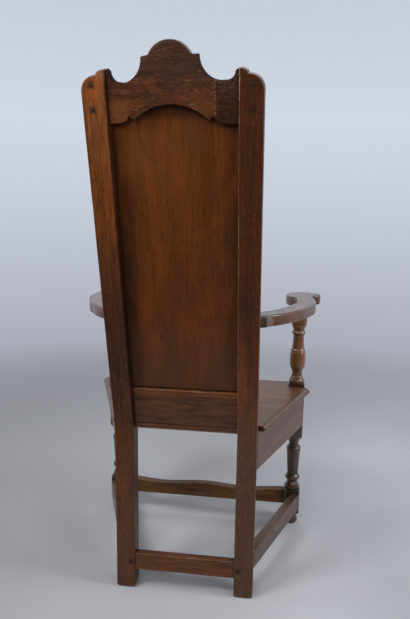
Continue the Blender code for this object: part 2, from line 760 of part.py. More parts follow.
def make_arm(name, side, root, stile):
    """An arm that falls a little to the front, cut to the raked stile and let down on its post."""
    bm = prism(mirrored(arm_outline(), side), -ARM_THICKNESS, 0.0, "plan")
    bm.transform(ARM_FRAME)
    normal = Vector((0, math.cos(RAKE), -math.sin(RAKE)))
    face = Vector((0, *raked(0.0, STILE_DEPTH + CLEARANCE)))
    everything = [*bm.verts, *bm.edges, *bm.faces]
    bmesh.ops.bisect_plane(bm, geom=everything, plane_co=face, plane_no=normal, clear_outer=True)
    open_edges = [edge for edge in bm.edges if edge.is_boundary]
    bmesh.ops.holes_fill(bm, edges=open_edges)
    arm = add_piece(name, bm, root, SEAT_BROWN)
    across = [side * STILE_CENTRE + half for half in (-ARM_TENON_WIDTH / 2, ARM_TENON_WIDTH / 2)]
    along = (ARM_REAR - ARM_THICKNESS, ARM_REAR + ARM_TENON_LENGTH)
    tall = (ARM_HEIGHT - ARM_THICKNESS + ARM_TENON_SHOULDER, ARM_HEIGHT - ARM_TENON_SHOULDER)
    tenon(arm, stile, (across, along, tall))
    below = (side * POST_X, -POST_REACH, ARM_SEAT - ARM_THICKNESS)
    for radius, depth in ((POST_PAD_RADIUS, 0.0), (POST_TENON_RADIUS, POST_TENON_LENGTH)):
        end = (side * POST_X, -POST_REACH, ARM_SEAT + depth + TINY_RISE + CLEARANCE)
        cut(arm, rod(below, end, radius + CLEARANCE, TURNING_SIDES))


def make_pegs(root, label, side, stile, crest, rear_stretcher, side_stretcher):
    across = side * (HALF_INNER + CREST_PEG_INSET)
    upper = SHOULDER_RISE - CREST_PEG_BELOW_SHOULDER
    for place, rise in (("upper", upper), ("lower", upper - CREST_PEG_PITCH)):
        name = f"crest_peg_{label}_{place}"
        peg(name, root, (across, 0, rise), (0, -1, 0), PEG_LENGTH, (stile, crest), BACK_FRAME)
    height = REAR_STRETCHER_BOTTOM + REAR_STRETCHER_HEIGHT / 2
    start = (side * (HALF_INNER + STRETCHER_PEG_INSET), 0, height)
    holed = (stile, rear_stretcher)
    peg(f"rear_stretcher_peg_{label}", root, start, (0, -1, 0), PEG_LENGTH, holed)
    height = SIDE_STRETCHER_BOTTOM + SIDE_PEG_RISE
    start = (side * HALF_BACK, -STILE_DEPTH + SIDE_PEG_SETBACK, height)
    holed = (stile, side_stretcher)
    peg(f"side_stretcher_peg_{label}", root, start, (-side, 0, 0), SIDE_PEG_LENGTH, holed)


def centre_on_floor(root):
    """Move the chair so that its box stands on the floor, centred over the origin."""
    bpy.context.view_layer.update()
    graph = bpy.context.evaluated_depsgraph_get()
    corners = []
    for obj in root.children:
        if not obj.hide_render:
            solid = obj.evaluated_get(graph)
            mesh = solid.to_mesh()
            corners += [solid.matrix_world @ vertex.co for vertex in mesh.vertices]
            solid.to_mesh_clear()
    low = [min(point[axis] for point in corners) for axis in range(3)]
    high = [max(point[axis] for point in corners) for axis in range(3)]
    root.location = (-(low[0] + high[0]) / 2, -(low[1] + high[1]) / 2, -low[2])
    bpy.context.view_layer.update()


def main():
    clear_scene()
    root = bpy.data.objects.new("armchair", None)
    bpy.context.collection.objects.link(root)
    stiles = {label: make_stile(f"rear_stile_{label}", side, root) for label, side in SIDES.items()}
    posts = {label: make_post(f"front_post_{label}", side, root) for label, side in SIDES.items()}
    crest = make_crest(root, stiles)
    back_rail = make_back_rail(root, stiles)
    make_panel(root, (*stiles.values(), crest, back_rail))
    rear_stretcher = make_rear_stretcher(root, stiles)
    make_front_rails(root, posts)
    make_seat(root)
    for label, side in SIDES.items():
        stile, post = stiles[label], posts[label]
        low = (SIDE_STRETCHER_BOTTOM, SIDE_STRETCHER_BOTTOM + SIDE_STRETCHER_HEIGHT)
        side_stretcher = make_side_rail(
            f"side_stretcher_{label}", side, SIDE_STRETCHER_THICKNESS, low,
            STRETCHER_TENON_SHOULDER, root, stile, post,
        )
        make_side_rail(
            f"side_apron_{label}", side, SIDE_APRON_THICKNESS, (APRON_BOTTOM, RAIL_TOP),
            APRON_TENON_SHOULDER, root, stile, post,
        )
        make_arm(f"arm_{label}", side, root, stile)
        make_pegs(root, label, side, stile, crest, rear_stretcher, side_stretcher)
    centre_on_floor(root)


main()
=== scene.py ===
"""Looks of a high panel-back armchair in waxed wood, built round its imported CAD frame.

Every piece is a surface worked out with numpy and set where its CAD node is. The chair's front
faces -Y and the sitter's left is +X. Places along the chair are measured from the back face of
the rear legs, and the raked back has its own measures: rise along the slope from the bend, and
depth in from the back face.
"""

import math

import bpy
import numpy as np
from bpy.props import FloatProperty, FloatVectorProperty, PointerProperty
from mathutils import Matrix, Vector


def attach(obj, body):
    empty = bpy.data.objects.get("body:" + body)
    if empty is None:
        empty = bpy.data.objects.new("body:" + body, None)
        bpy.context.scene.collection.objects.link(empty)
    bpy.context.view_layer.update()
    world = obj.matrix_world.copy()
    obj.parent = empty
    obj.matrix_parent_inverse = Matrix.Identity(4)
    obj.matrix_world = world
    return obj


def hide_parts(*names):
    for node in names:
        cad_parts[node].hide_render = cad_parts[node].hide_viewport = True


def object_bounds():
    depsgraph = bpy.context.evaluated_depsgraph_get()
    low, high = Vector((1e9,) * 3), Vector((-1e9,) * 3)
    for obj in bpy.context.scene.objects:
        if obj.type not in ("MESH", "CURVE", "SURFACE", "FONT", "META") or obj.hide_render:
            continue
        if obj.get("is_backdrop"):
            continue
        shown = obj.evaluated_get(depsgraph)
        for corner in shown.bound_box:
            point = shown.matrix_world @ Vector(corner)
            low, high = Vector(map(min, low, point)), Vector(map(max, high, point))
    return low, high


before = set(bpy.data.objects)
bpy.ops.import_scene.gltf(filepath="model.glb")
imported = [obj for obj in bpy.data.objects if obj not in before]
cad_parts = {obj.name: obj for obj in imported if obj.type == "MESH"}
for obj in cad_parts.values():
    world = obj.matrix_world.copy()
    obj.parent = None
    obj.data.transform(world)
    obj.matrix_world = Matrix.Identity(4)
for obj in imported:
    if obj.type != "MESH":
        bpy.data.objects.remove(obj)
CAD_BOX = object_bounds()

bl_info = {
    "name": "Panel-back armchair",
    "version": (1, 0, 0),
    "blender": (4, 5, 0),
    "location": "View3D > Sidebar > Armchair",
    "description": "Builds a joined panel-back armchair in waxed wood round its frame",
    "category": "Object",
}

# Overall sizes in metres, angles in radians, as in the CAD frame. Pieces that touch keep the
# clearance apart, places nearer than the next value count as one, and points lower than the third
# touch the floor
CLEARANCE = 0.0003
NEAR = 0.0005
FLOOR_TOUCH = 0.001
SEAT_HEIGHT = 0.450
SEAT_THICKNESS = 0.014
ARM_HEIGHT = 0.738
ARM_SLOPE = math.radians(2.3)
ARM_THICKNESS = 0.028
RAKE = math.radians(14.0)
BEND_HEIGHT = 0.440
HALF_BACK = 0.176
STILE_WIDTH = 0.048
STILE_DEPTH = 0.046
HALF_INNER = HALF_BACK - STILE_WIDTH
STILE_CENTRE = HALF_BACK - STILE_WIDTH / 2
SHOULDER_RISE = 0.8137
SHOULDER_RADIUS = 0.030
EAR_RADIUS = 0.0150
EAR_CENTRE = HALF_INNER + 0.0040
EAR_RISE = SHOULDER_RISE - 0.0057

# Worn soles and tops of the stiles: levels of the lowest sections, and how far the sections draw in
# from the sole up and at the ear. The wear there fades with height
SOLE_LEVELS = (0.0, 0.0010, 0.0030, 0.0070, 0.03)
SOLE_DRAW_IN = (0.0062, 0.0038, 0.0016, 0.0)
EAR_DRAW_IN = (0.0004, 0.001, 0.0018)
EAR_LIFT = 0.0002
BEND_MARGIN = 0.02
LEG_START = 0.06
MOST_STRETCH = 5.0
SOLE_WEAR = 0.9
SOLE_WEAR_FADE = 0.012

# Wear of each stile's arrises. Below 0 is painted shade on the back arris turned away from the light,
# and the right stile's inner back arris at 1.1 is worn and painted with a highlight
STILE_RUB_AND_PAINTED_LIGHT = {"left": (0.6, 0.6, -0.6, 0.9), "right": (0.6, 0.6, 1.1, -0.5)}

# Crest rail
CREST_RECESS = 0.008
CREST_THICKNESS = 0.030
LEDGE_RISE = SHOULDER_RISE + 0.0355
DOME_HEIGHT = 0.0258
DOME_HALF_WIDTH = 0.0405
LEDGE_WIDTH = 0.014
SWEEP_WIDTH = 0.043
SWEEP_DROP = 0.0468
EAR_COVE_RADIUS = 0.0165
ARCH_CROWN = SHOULDER_RISE - 0.0518
ARCH_HALF_WIDTH = 0.073
ARCH_RISE = 0.0292
NOTCH_WIDTH = 0.012
NOTCH_RISE = ARCH_CROWN - ARCH_RISE + 0.0047
LOBE_WIDTH = 0.0195
LOBE_DROP = 0.0108
CROWN_MARGIN = 0.001

# Shares of the crest's easing along its ends, beside them at the ears, and on its lower edge
CREST_END_HOLD = 0.06
EAR_HOLD = 0.42
EAR_HOLD_FADE = 0.012
LOWER_EDGE_HOLD = 0.25
CREST_FRONT_EASING = 0.6

# Wear of the dome's edge, grime and painted shade at the rim of the other edges, and where it ends,
# in easings
DOME_WEAR = 0.6
GRIME_AND_SHADE_RIM = 0.25
GRIME_AND_SHADE_END = 0.5

# The crest as cut by hand: its middle stands to the sitter's left, its lower edge hangs low and
# so do its dome and its left sweep
CREST_SHIFT = 0.0034
CREST_END_FADE = 0.025
LOBE_FLATTENING = 0.5
NOTCH_CUT = 0.0022
NOTCH_PLACE = 0.9
LOWER_EDGE_DROP = 0.0031
DOME_DROP = 0.0018
LEFT_SWEEP_DROP = 0.0030

# Panel and lower back rail
PANEL_RECESS = 0.024
PANEL_THICKNESS = 0.010
GROOVE_DEPTH = 0.009
PANEL_COVER = 0.010
PANEL_EASING = 0.001
PANEL_SPACING = 0.01
PANEL_WEAR = 0.2
BACK_RAIL_RECESS = 0.018
BACK_RAIL_THICKNESS = 0.024
BACK_RAIL_HEIGHT = 0.098
BACK_RAIL_TOP = (
    SEAT_HEIGHT + BACK_RAIL_HEIGHT - BEND_HEIGHT - BACK_RAIL_RECESS * math.sin(RAKE)
) / math.cos(RAKE)

# Front posts
POST_X = 0.2745
POST_REACH = 0.3909
HALF_POST = 0.0235
POST_OUTER = POST_X + HALF_POST
POST_INNER = POST_X - HALF_POST
POST_REAR = POST_REACH - HALF_POST
POST_FRONT = POST_REACH + HALF_POST
SPLAY = math.atan2(POST_OUTER - HALF_BACK, POST_REAR - STILE_DEPTH)
FOOT_HEIGHT = 0.043
LOWER_BLOCK_TOP = 0.118
PLINTH_TOP = SEAT_HEIGHT + 0.0055
UPPER_BLOCK_BOTTOM = PLINTH_TOP - 0.160
POST_PAD_RADIUS = 0.021
FOOT_RADIUS = 0.0145
LEG_RADIUS = 0.0205
VASE_RADIUS = 0.0208
BALUSTER_RADIUS = 0.0222
NECK_RADIUS = 0.0157
POST_POINTS = 96

# A block's turned radius lies past its square corners, apart from its two ends
SQUARE_CORNER = HALF_POST * math.sqrt(2)
BLOCK_RADIUS = HALF_POST * 1.5
BLOCK_TOP_RADIUS = HALF_POST * 1.36
BLOCK_EASING = 0.0011
BLOCK_END = 0.0015
BLOCK_FLAT = 0.004

# Wear of the turnings: the profile's step, the points in its running mean and its largest radius,
# how proud is fully worn, the most of it, and the shares of half the post where corners are worn
PROFILE_STEP = 0.001
PROFILE_WINDOW = 15
PROFILE_RADIUS = HALF_POST * 1.1
FULLY_PROUD = 0.0022
TURNED_WEAR = 0.8
CORNER_FROM = HALF_POST * 1.2
CORNER_WEAR_FROM = HALF_POST * 1.25
CORNER_WEAR_OVER = HALF_POST * 0.12

# Rails and stretchers: bottom, height, thickness
RAIL_TOP = SEAT_HEIGHT - SEAT_THICKNESS - CLEARANCE
APRON_BOTTOM = RAIL_TOP - 0.105
APRON_THICKNESS = 0.022
FRONT_APRON_SETBACK = 0.006
REAR_STRETCHER = (0.0526, 0.0463, 0.0206)
REAR_STRETCHER_RECESS = 0.003
SIDE_STRETCHER = (0.0565, 0.049, 0.026)
SIDE_PEG_RISE = 0.0185
FRONT_STRETCHER = (0.0655, 0.046, 0.024)
FRONT_STRETCHER_WAVE = 0.004
FRONT_STRETCHER_DIPS = 2

# Wear of the rails' arrises, and dirt that fades away from their joints
RAIL_RUB = (0.4, 1.0, 0.4, 0.4)
BACK_RAIL_RUB = (0.4, 1.0, -1.0, 0.4)
JOINT_DIRT = 0.9
JOINT_DIRT_FADE = 0.002

# Seat board
SEAT_SIDE_OVERHANG = 0.017
SEAT_FRONT_OVERHANG = 0.011
SEAT_REAR_INSET = 0.020
SEAT_CORNER_CUT = 0.008
SEAT_END_ROUND = 0.010
SEAT_SPACING = 0.005
SEAT_FRONT_MARGIN = 0.002
SEAT_PLAIN_HOLD = 0.1
SEAT_MOULDING_DEPTH = SEAT_THICKNESS * 0.62
SEAT_MOULDING_STEPS = 8
SEAT_UNDER_EASING = 0.0015

# Dust and painted sheen on the seat's moulding, dirt along its inner line, and how far the dirt of its
# ends reaches
SEAT_DUST_AND_SHEEN_WEAR = 8.0
SEAT_LINE_DIRT = -0.47
SEAT_END_DIRT = 0.0015
SEAT_END_DIRT_DEPTH = 0.002

# Arms: the outline from above, as in the CAD frame
ARM_NECK_WIDTH = 0.046
ARM_NECK_REACH = 0.022
ARM_COVE = (0.014, 0.010)
ARM_INNER_BOW = ((0.1375, -0.016), (0.228, -0.005), (0.322, 0.012), (0.438, 0.0213), (0.55, 0.0244))
ARM_HEAD = (
    (-0.0160, -0.150),
    (-0.0120, -0.112),
    (-0.0107, -0.074),
    (-0.0147, -0.042),
    (-0.0310, -0.013),
    (-0.0407, 0.021),
    (-0.0365, 0.062),
    (-0.0117, 0.089),
    (0.0143, 0.096),
    (0.0423, 0.086),
    (0.0600, 0.062),
    (0.0560, 0.032),
    (0.0390, 0.015),
    (0.0350, -0.010),
    (0.0393, -0.056),
    (0.0403, -0.095),
    (0.0383, -0.133),
    (0.0313, -0.174),
)
ARM_OUTER_BOW = ((0.4414, 0.0745), (0.349, 0.066), (0.267, 0.0575), (0.197, 0.046), (0.151, 0.0347))
ARM_EDGE_STEPS = 8
ARM_SPACING = 0.004
ARM_REAR = (ARM_HEIGHT - BEND_HEIGHT) * math.tan(RAKE) - STILE_DEPTH / math.cos(RAKE)
POST_INTO_ARM = 0.0015
ARM_SEAT = (
    ARM_HEIGHT
    - (POST_REACH + ARM_REAR) * math.tan(ARM_SLOPE)
    - ARM_THICKNESS / math.cos(ARM_SLOPE)
    + POST_INTO_ARM
)

# The arm's tail runs back past the stile's face, is cut there and is eased little near it
ARM_TAIL = 0.012
ARM_TAIL_EASED = 0.006
ARM_TAIL_HOLD = 0.25
ARM_UNDER_EASING = 0.7

# Dirt and painted shade in the arm's cove: where it starts across, and how far forward it goes. Then
# the painted highlight on the lip: where it starts and ends across, how far forward it goes, and its
# strength as wear
ARM_COVE_DIRT_AND_SHADE = (0.165, 0.040)
ARM_LIP = (0.1905, 0.2045, 0.056)
ARM_LIP_HIGHLIGHT = 1.5

# Pegs
PEG_RADIUS = 0.0046
PEG_LENGTH = 0.034
SIDE_PEG_LENGTH = 0.026
PEG_PROUD = 0.0008
CREST_PEG_X = HALF_INNER + 0.0275
CREST_PEG_RISE = SHOULDER_RISE - 0.018
CREST_PEG_PITCH = 0.0454
STRETCHER_PEG_X = HALF_INNER + 0.0105
SIDE_PEG_Y = -STILE_DEPTH + 0.013
PEG_FACETS = 8
PEG_POINTS = 24
PEG_UNEVENNESS = 0.04
PEG_TILT = 0.00018
PEG_SINK = 0.0002

# Sections of a peg from its head: depths of all but the last, shares of the girth, and wear. Those
# with less than the fourth value of the girth are tilted
PEG_DEPTHS = (0.0, 0.00015, 0.0004, 0.0008, 0.003)
PEG_SHARES = (0.35, 0.7, 0.9, 0.985, 1.0, 0.96)
PEG_WEAR = (0.3, 0.3, 0.5, 0.2, -0.6, 0.0)
PEG_TILTED_BELOW = 0.99

# Seeds that keep the grain and wear of each piece its own; a side adds 1 or takes it away
SEEDS = {
    "stile": 2,
    "crest": 5,
    "panel": 7,
    "lower_back_rail": 11,
    "rear_stretcher": 12,
    "front_stretcher": 13,
    "front_apron": 14,
    "side_stretcher": 15,
    "side_apron": 18,
    "arm_edge": 21,
    "seat": 31,
    "post": 41,
    "arm": 51,
    "peg": 60,
}

SIDES = {"left": 1, "right": -1}

# Camera measured from the photograph: place, then turn, tilt and roll, then focal length
CAMERA_X = -0.2250
CAMERA_BEHIND = 1.3526
CAMERA_HEIGHT = 1.0156
CAMERA_YAW = 0.13198
CAMERA_PITCH = 0.19447
CAMERA_ROLL = 0.01411
FOCAL_PIXELS = 597.33
IMAGE_HEIGHT = 619
SENSOR = 36.0


def leg_back_face():
    """y of the rear legs' back face, the furthest back that the left stile reaches at the floor."""
    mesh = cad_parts["rear_stile_left"].data
    points = np.empty(len(mesh.vertices) * 3, np.float32)
    mesh.vertices.foreach_get("co", points)
    points = points.reshape(-1, 3)
    return float(points[points[:, 2] < FLOOR_TOUCH, 1].max())


BACK_FACE = leg_back_face()


# Settings a user may change


class ArmchairSizes(bpy.types.PropertyGroup):
    """Small sizes of the chair's worked edges."""

    easing: FloatProperty(
        name="Edge easing", description="Radius worn on rail and stile edges",
        default=0.0026, min=0.0005, max=0.006, unit="LENGTH",
    )
    crest_easing: FloatProperty(
        name="Crest easing", description="Radius worked on the back edge of the crest",
        default=0.0045, min=0.0005, max=0.008, unit="LENGTH",
    )
    arm_easing: FloatProperty(
        name="Arm easing", description="Radius of the arms' upper edges",
        default=0.0045, min=0.0005, max=0.010, unit="LENGTH",
    )
    seat_moulding: FloatProperty(
        name="Seat moulding", description="Width of the thumb moulding round the seat",
        default=0.011, min=0.002, max=0.016, unit="LENGTH",
    )


def colour_setting(name, description, default):
    """A colour that a user may change."""
    return FloatVectorProperty(
        name=name, description=description, default=default, min=0.0, max=1.0, subtype="COLOR"
    )


class ArmchairColours(bpy.types.PropertyGroup):
    """Wood colours of the chair, linear red, green and blue."""

    left_stile: colour_setting("Left stile", "Warm brown of the left stile", (0.088, 0.027, 0.0068))
    right_stile: colour_setting("Right stile", "Brown of the right stile", (0.076, 0.0205, 0.005))
    crest: colour_setting("Crest", "Dark brown of the crest rail", (0.066, 0.0215, 0.0085))
    panel: colour_setting("Panel", "Brown of the back panel", (0.097, 0.0272, 0.0046))
    rails: colour_setting("Rails", "Brown of rails and stretchers", (0.094, 0.033, 0.0105))
    front_stretcher: colour_setting(
        "Front stretcher", "Brown of the front stretcher", (0.120, 0.051, 0.0175)
    )
    seat: colour_setting("Seat", "Brown of the seat", (0.128, 0.047, 0.020))
    aprons: colour_setting("Aprons", "Brown of the aprons and side stretchers", (0.094, 0.040, 0.024))
    arms: colour_setting("Arms", "Brown of the arms", (0.100, 0.036, 0.0155))
    posts: colour_setting("Posts", "Brown of the turned posts", (0.112, 0.047, 0.0215))
    pegs: colour_setting("Pegs", "Dark brown of the pegs' end grain", (0.030, 0.017, 0.008))
    floor: colour_setting("Floor", "Pale grey of the floor", (0.505, 0.528, 0.575))


# Surfaces


def wander(t, seed):
    """A smooth wandering value from -1 to 1: three sines of unlike lengths, shifted by the seed."""
    first = np.sin(9.1 * t + 1.7 * seed)
    second = np.sin(23.7 * t + 2.9 * seed + 1.0)
    third = np.sin(51.3 * t + 4.1 * seed + 2.0)
    return (first + second + third) / 3


# Wear across an arris and an edge, from and to a share of half a turn, and beside an arris on a flat
ARRIS_WEAR_SPAN = (0.15, 0.85)
EDGE_WEAR_SPAN = (0.1, 0.9)
EDGE_FLAT_WEAR = 0.1
FLAT_WEAR = 0.3
FLAT_WEAR_POWER = 12

# How much an easing wanders on a bar and on a board's edge, and its largest share of the section
BAR_EASING_WANDER = 0.35
EDGE_EASING_WANDER = 0.18
MOST_EASING = 0.42
MOST_STRETCHED_EASING = 0.8


def uneven_wear(along, seed):
    """Share of the wear along an edge: 0.65, and a wandering 0.35 more or less."""
    return 0.65 + 0.35 * wander(along * 2.3, seed + 3)


def eased_section(corner_steps, flat_shares):
    """Coefficients for a rectangle with eased corners, and how worn each of its points is.

    A point's two measures are each a first coefficient times half the side less the radius, plus
    a second times the radius: a sign and a cosine or sine on the corner arcs, and even shares
    between neighbouring arcs along the flats.
    """
    quarter = np.arange(4)[:, None] * math.pi / 2
    angle = quarter + np.linspace(0, math.pi / 2, corner_steps + 1)
    sign_u = np.array([1.0, -1.0, -1.0, 1.0])[:, None] + 0 * angle
    sign_v = np.array([1.0, 1.0, -1.0, -1.0])[:, None] + 0 * angle
    arcs = np.stack([sign_u, np.cos(angle), sign_v, np.sin(angle)], axis=-1)
    last = arcs[:, -1:]
    first = np.roll(arcs[:, :1], -1, axis=0)
    flats = last + (first - last) * np.array(flat_shares)[None, :, None]
    table = np.concatenate([arcs, flats], axis=1).reshape(-1, 4)
    arc_wear = np.sin(np.linspace(*ARRIS_WEAR_SPAN, corner_steps + 1) * math.pi)
    flat_wear = np.abs(np.array(flat_shares) * 2 - 1) ** FLAT_WEAR_POWER * FLAT_WEAR
    wear = np.tile(np.concatenate([arc_wear, flat_wear]), 4)
    return table, wear


SECTION, SECTION_WEAR = eased_section(4, (0.03, 0.2, 0.4, 0.6, 0.8, 0.97))


def bar(corners, radius, draw_in=0.0, seed=0, stretch=1.0, rub=(1.0, 1.0, 1.0, 1.0)):
    """A rectangle with eased corners carried along four corner lines.

    corners holds four lines of points in order round the section. Each section is a rectangle
    with eased corners, spread between the four corner points by the share it takes of the width
    and of the height. The easing wanders a little along the length, as hand wear does. Stretch
    widens the easing across the section on the side of the second and third lines. Rub is how
    worn each arris is, at the third line, the fourth, the first and the second. Below 0 it darkens
    the arris, as dirt on the rails and as painted shade on the stiles, and on the right stile one
    worn arris also carries a painted highlight.
    """
    a, b, c, d = corners
    wide = (np.linalg.norm(b - a, axis=1) + np.linalg.norm(c - d, axis=1)) / 2
    tall = (np.linalg.norm(d - a, axis=1) + np.linalg.norm(c - b, axis=1)) / 2
    middle = (a + b + c + d) / 4
    steps = np.linalg.norm(np.diff(middle, axis=0), axis=1)
    length = np.concatenate([[0.0], np.cumsum(steps)])
    eased = radius * (1 + BAR_EASING_WANDER * wander(length, seed))
    eased = np.minimum(eased, MOST_EASING * np.minimum(wide, tall))[:, None]
    half_u = wide[:, None] / 2
    half_v = tall[:, None] / 2
    draw = np.broadcast_to(draw_in, length.shape)[:, None]
    widened = eased * np.broadcast_to(stretch, length.shape)[:, None]
    widened = np.minimum(widened, MOST_STRETCHED_EASING * half_u)
    eased_u = np.where(SECTION[:, 0] > 0, widened, eased)
    u = SECTION[:, 0] * (half_u - draw - eased_u) + SECTION[:, 1] * eased_u
    v = SECTION[:, 2] * (half_v - draw - eased) + SECTION[:, 3] * eased
    share_u = ((u / half_u + 1) / 2)[..., None]
    share_v = ((v / half_v + 1) / 2)[..., None]
    near = (1 - share_u) * a[:, None] + share_u * b[:, None]
    far = (1 - share_u) * d[:, None] + share_u * c[:, None]
    rings = (1 - share_v) * near + share_v * far
    along = np.broadcast_to(length[:, None], u.shape)
    board = np.stack([u, v, along], axis=-1)
    arris = np.repeat(rub, len(SECTION) // 4)
    wear = SECTION_WEAR * arris * uneven_wear(along, seed)
    return rings, board, wear


# The sharpest corner that still draws in in full, and how far a face's rim draws in
SHARPEST_CORNER = 0.9
RIM_INSET = 1.25


def inward(outline):
    """Normals into a counter-clockwise outline, longer at corners so that both edges keep apart."""
    after = np.roll(outline, -1, axis=0) - outline
    after /= np.linalg.norm(after, axis=1, keepdims=True)
    left = np.stack([-after[:, 1], after[:, 0]], axis=1)
    both = left + np.roll(left, 1, axis=0)
    size = np.maximum((both**2).sum(axis=1, keepdims=True), SHARPEST_CORNER)
    return 2 * both / size


def edge_profile(back_ease, front_ease, thickness, steps=5):
    """Insets and depths of a board's edge: a quarter round at each face and a flat between them.

    On a quarter round of that width and depth the inset is the width times one less the sine,
    and the depth one less the cosine. The last value is how worn each step is.
    """
    turn = np.linspace(0, math.pi / 2, steps + 1)
    back_in, back_deep = back_ease
    front_in, front_deep = front_ease
    inset = [[back_in * RIM_INSET], back_in * (1 - np.sin(turn)), [0.0]]
    inset += [front_in * (1 - np.sin(turn[::-1])), [front_in * RIM_INSET]]
    depth = [[0.0], back_deep * (1 - np.cos(turn)), [thickness / 2]]
    depth += [thickness - front_deep * (1 - np.cos(turn[::-1])), [thickness]]
    worn = np.sin(np.linspace(*EDGE_WEAR_SPAN, steps + 1) * math.pi)
    wear = [[0.0], worn, [EDGE_FLAT_WEAR], worn, [0.0]]
    return np.concatenate(inset), np.concatenate(depth), np.concatenate(wear)


def plate(outline, profile, hold=1.0, seed=0):
    """A flat board: its outline drawn in by each inset of an edge profile, at that depth.

    hold scales the inset along the outline, so that an edge that meets another piece stays
    square. Returns outline measures and depth for every point, and how worn it is.
    """
    outline = np.asarray(outline, float)
    after = np.roll(outline, -1, axis=0)
    if (outline[:, 0] * after[:, 1] - outline[:, 1] * after[:, 0]).sum() < 0:
        outline = outline[::-1]
        hold = np.broadcast_to(hold, len(outline))[::-1]
    inset, depth, wear = profile
    hold = np.broadcast_to(hold, len(outline))
    steps = np.linalg.norm(np.roll(outline, -1, axis=0) - outline, axis=1)
    run = np.cumsum(steps)
    vary = hold * (1 + EDGE_EASING_WANDER * wander(run, seed))
    points = outline + inset[:, None, None] * vary[None, :, None] * inward(outline)
    deep = np.broadcast_to(depth[:, None], points.shape[:2])
    worn = wear[:, None] * hold * uneven_wear(run, seed)
    return points[..., 0], points[..., 1], deep, worn


def densify(points, spacing, closed=True):
    """An outline with points added along its straight edges, about that far apart.

    An open one is left without its last point.
    """
    points = np.asarray(points, float)
    starts = points if closed else points[:-1]
    parts = []
    for start, end in zip(starts, np.roll(points, -1, axis=0)):
        count = max(int(np.linalg.norm(end - start) / spacing), 1)
        share = np.arange(count)[:, None] / count
        parts.append(start + (end - start) * share)
    return np.concatenate(parts)


def mirrored(half):
    """An outline from its half on the +u side, and that half again on the other side."""
    return np.concatenate([half, half[::-1] * np.array([-1.0, 1.0])])


def arc(centre, radii, first, last, steps):
    """Points along an ellipse's arc, angles in degrees from +u."""
    angle = np.radians(np.linspace(first, last, steps + 1))
    return np.array(centre) + np.array(radii) * np.stack([np.cos(angle), np.sin(angle)], axis=1)


def smooth(points, steps):
    """A smooth curve through the points: each run blends four neighbours by cubic weights."""
    points = np.asarray(points, float)
    ends = np.concatenate([points[:1], points, points[-1:]])
    p, q, r, s = (ends[k : len(ends) - 3 + k][:, None] for k in range(4))
    t = (np.arange(steps) / steps)[None, :, None]
    curve = 0.5 * (2 * q + (r - p) * t + (2 * p - 5 * q + 4 * r - s) * t**2)
    curve += 0.5 * (3 * q - p - 3 * r + s) * t**3
    return np.concatenate([curve.reshape(-1, 2), points[-1:]])


def raked(x, rise, depth):
    """Points of the raked back from their place across, their rise and their depth."""
    y = BACK_FACE + rise * math.sin(RAKE) - depth * math.cos(RAKE)
    z = BEND_HEIGHT + rise * math.cos(RAKE) + depth * math.sin(RAKE)
    return np.stack(np.broadcast_arrays(x, y, z), axis=-1).astype(float)


def upright(x, y, z):
    """Points measured across, from the rear legs' back face, and from the floor."""
    y = BACK_FACE + np.asarray(y, float)
    return np.stack(np.broadcast_arrays(x, y, z), axis=-1).astype(float)


GRAIN_SHIFT = np.array([0.37, 0.61, 1.3])
SHARP_ANGLE = math.radians(38)


def skin(name, rings, board, wear, material, slot, node, seed):
    """A closed mesh: faces between each section and the next, and a flat cap at each end.

    The signed volume, a third of the sum of each corner's triple product, tells which way the
    faces look, and they are turned round where it is negative. The board measures are shifted
    by the seed so that no two pieces share their grain.
    """
    count, size = rings.shape[:2]
    index = np.arange(count * size).reshape(count, size)
    around = np.roll(index, -1, axis=1)
    quads = np.stack([index[:-1], around[:-1], around[1:], index[1:]], axis=-1).reshape(-1, 4)
    caps = [index[0][::-1], index[-1]]
    points = rings.reshape(-1, 3)
    fans = [np.stack([cap[:1].repeat(size - 2), cap[1:-1], cap[2:]], axis=1) for cap in caps]
    triangles = np.concatenate([quads[:, [0, 1, 2]], quads[:, [0, 2, 3]], *fans])
    p, q, r = (points[triangles[:, k]] - points.mean(axis=0) for k in range(3))
    if np.einsum("ij,ij->", p, np.cross(q, r)) < 0:
        quads = quads[:, ::-1]
        caps = [cap[::-1] for cap in caps]
    mesh = bpy.data.meshes.new(name)
    mesh.from_pydata(points.tolist(), [], quads.tolist() + [cap.tolist() for cap in caps])
    shift = GRAIN_SHIFT * seed
    grain = mesh.attributes.new("board", "FLOAT_VECTOR", "POINT")
    grain.data.foreach_set("vector", (board + shift).astype(np.float32).ravel())
    # The wear attribute holds wear and dirt, and on some pieces painted highlights and painted shade
    worn = mesh.attributes.new("wear", "FLOAT", "POINT")
    worn.data.foreach_set("value", np.ascontiguousarray(wear, np.float32).ravel())
    mesh.polygons.foreach_set("use_smooth", np.ones(len(mesh.polygons), bool))
    mesh.set_sharp_from_angle(angle=SHARP_ANGLE)
    mesh.update()
    piece = bpy.data.objects.new(name, mesh)
    bpy.context.scene.collection.objects.link(piece)
    mesh.materials.append(material)
    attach(piece, "root")
    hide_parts(node)


# Wood finishes


def add_node(tree, kind, **settings):
    """A new shader node with its settings."""
    made = tree.nodes.new(kind)
    for key, value in settings.items():
        setattr(made, key, value)
    return made


def grain_noise(tree, vector, scale, detail, distortion=0.0):
    """Noise on a board's measures or on a place, drawn out along the grain by unequal scales."""
    mapping = add_node(tree, "ShaderNodeMapping")
    mapping.inputs["Scale"].default_value = scale
    tree.links.new(vector, mapping.inputs["Vector"])
    noise = add_node(tree, "ShaderNodeTexNoise")
    noise.inputs["Scale"].default_value = 1.0
    noise.inputs["Detail"].default_value = detail
    noise.inputs["Distortion"].default_value = distortion
    tree.links.new(mapping.outputs["Vector"], noise.inputs["Vector"])
    return noise.outputs["Fac"]


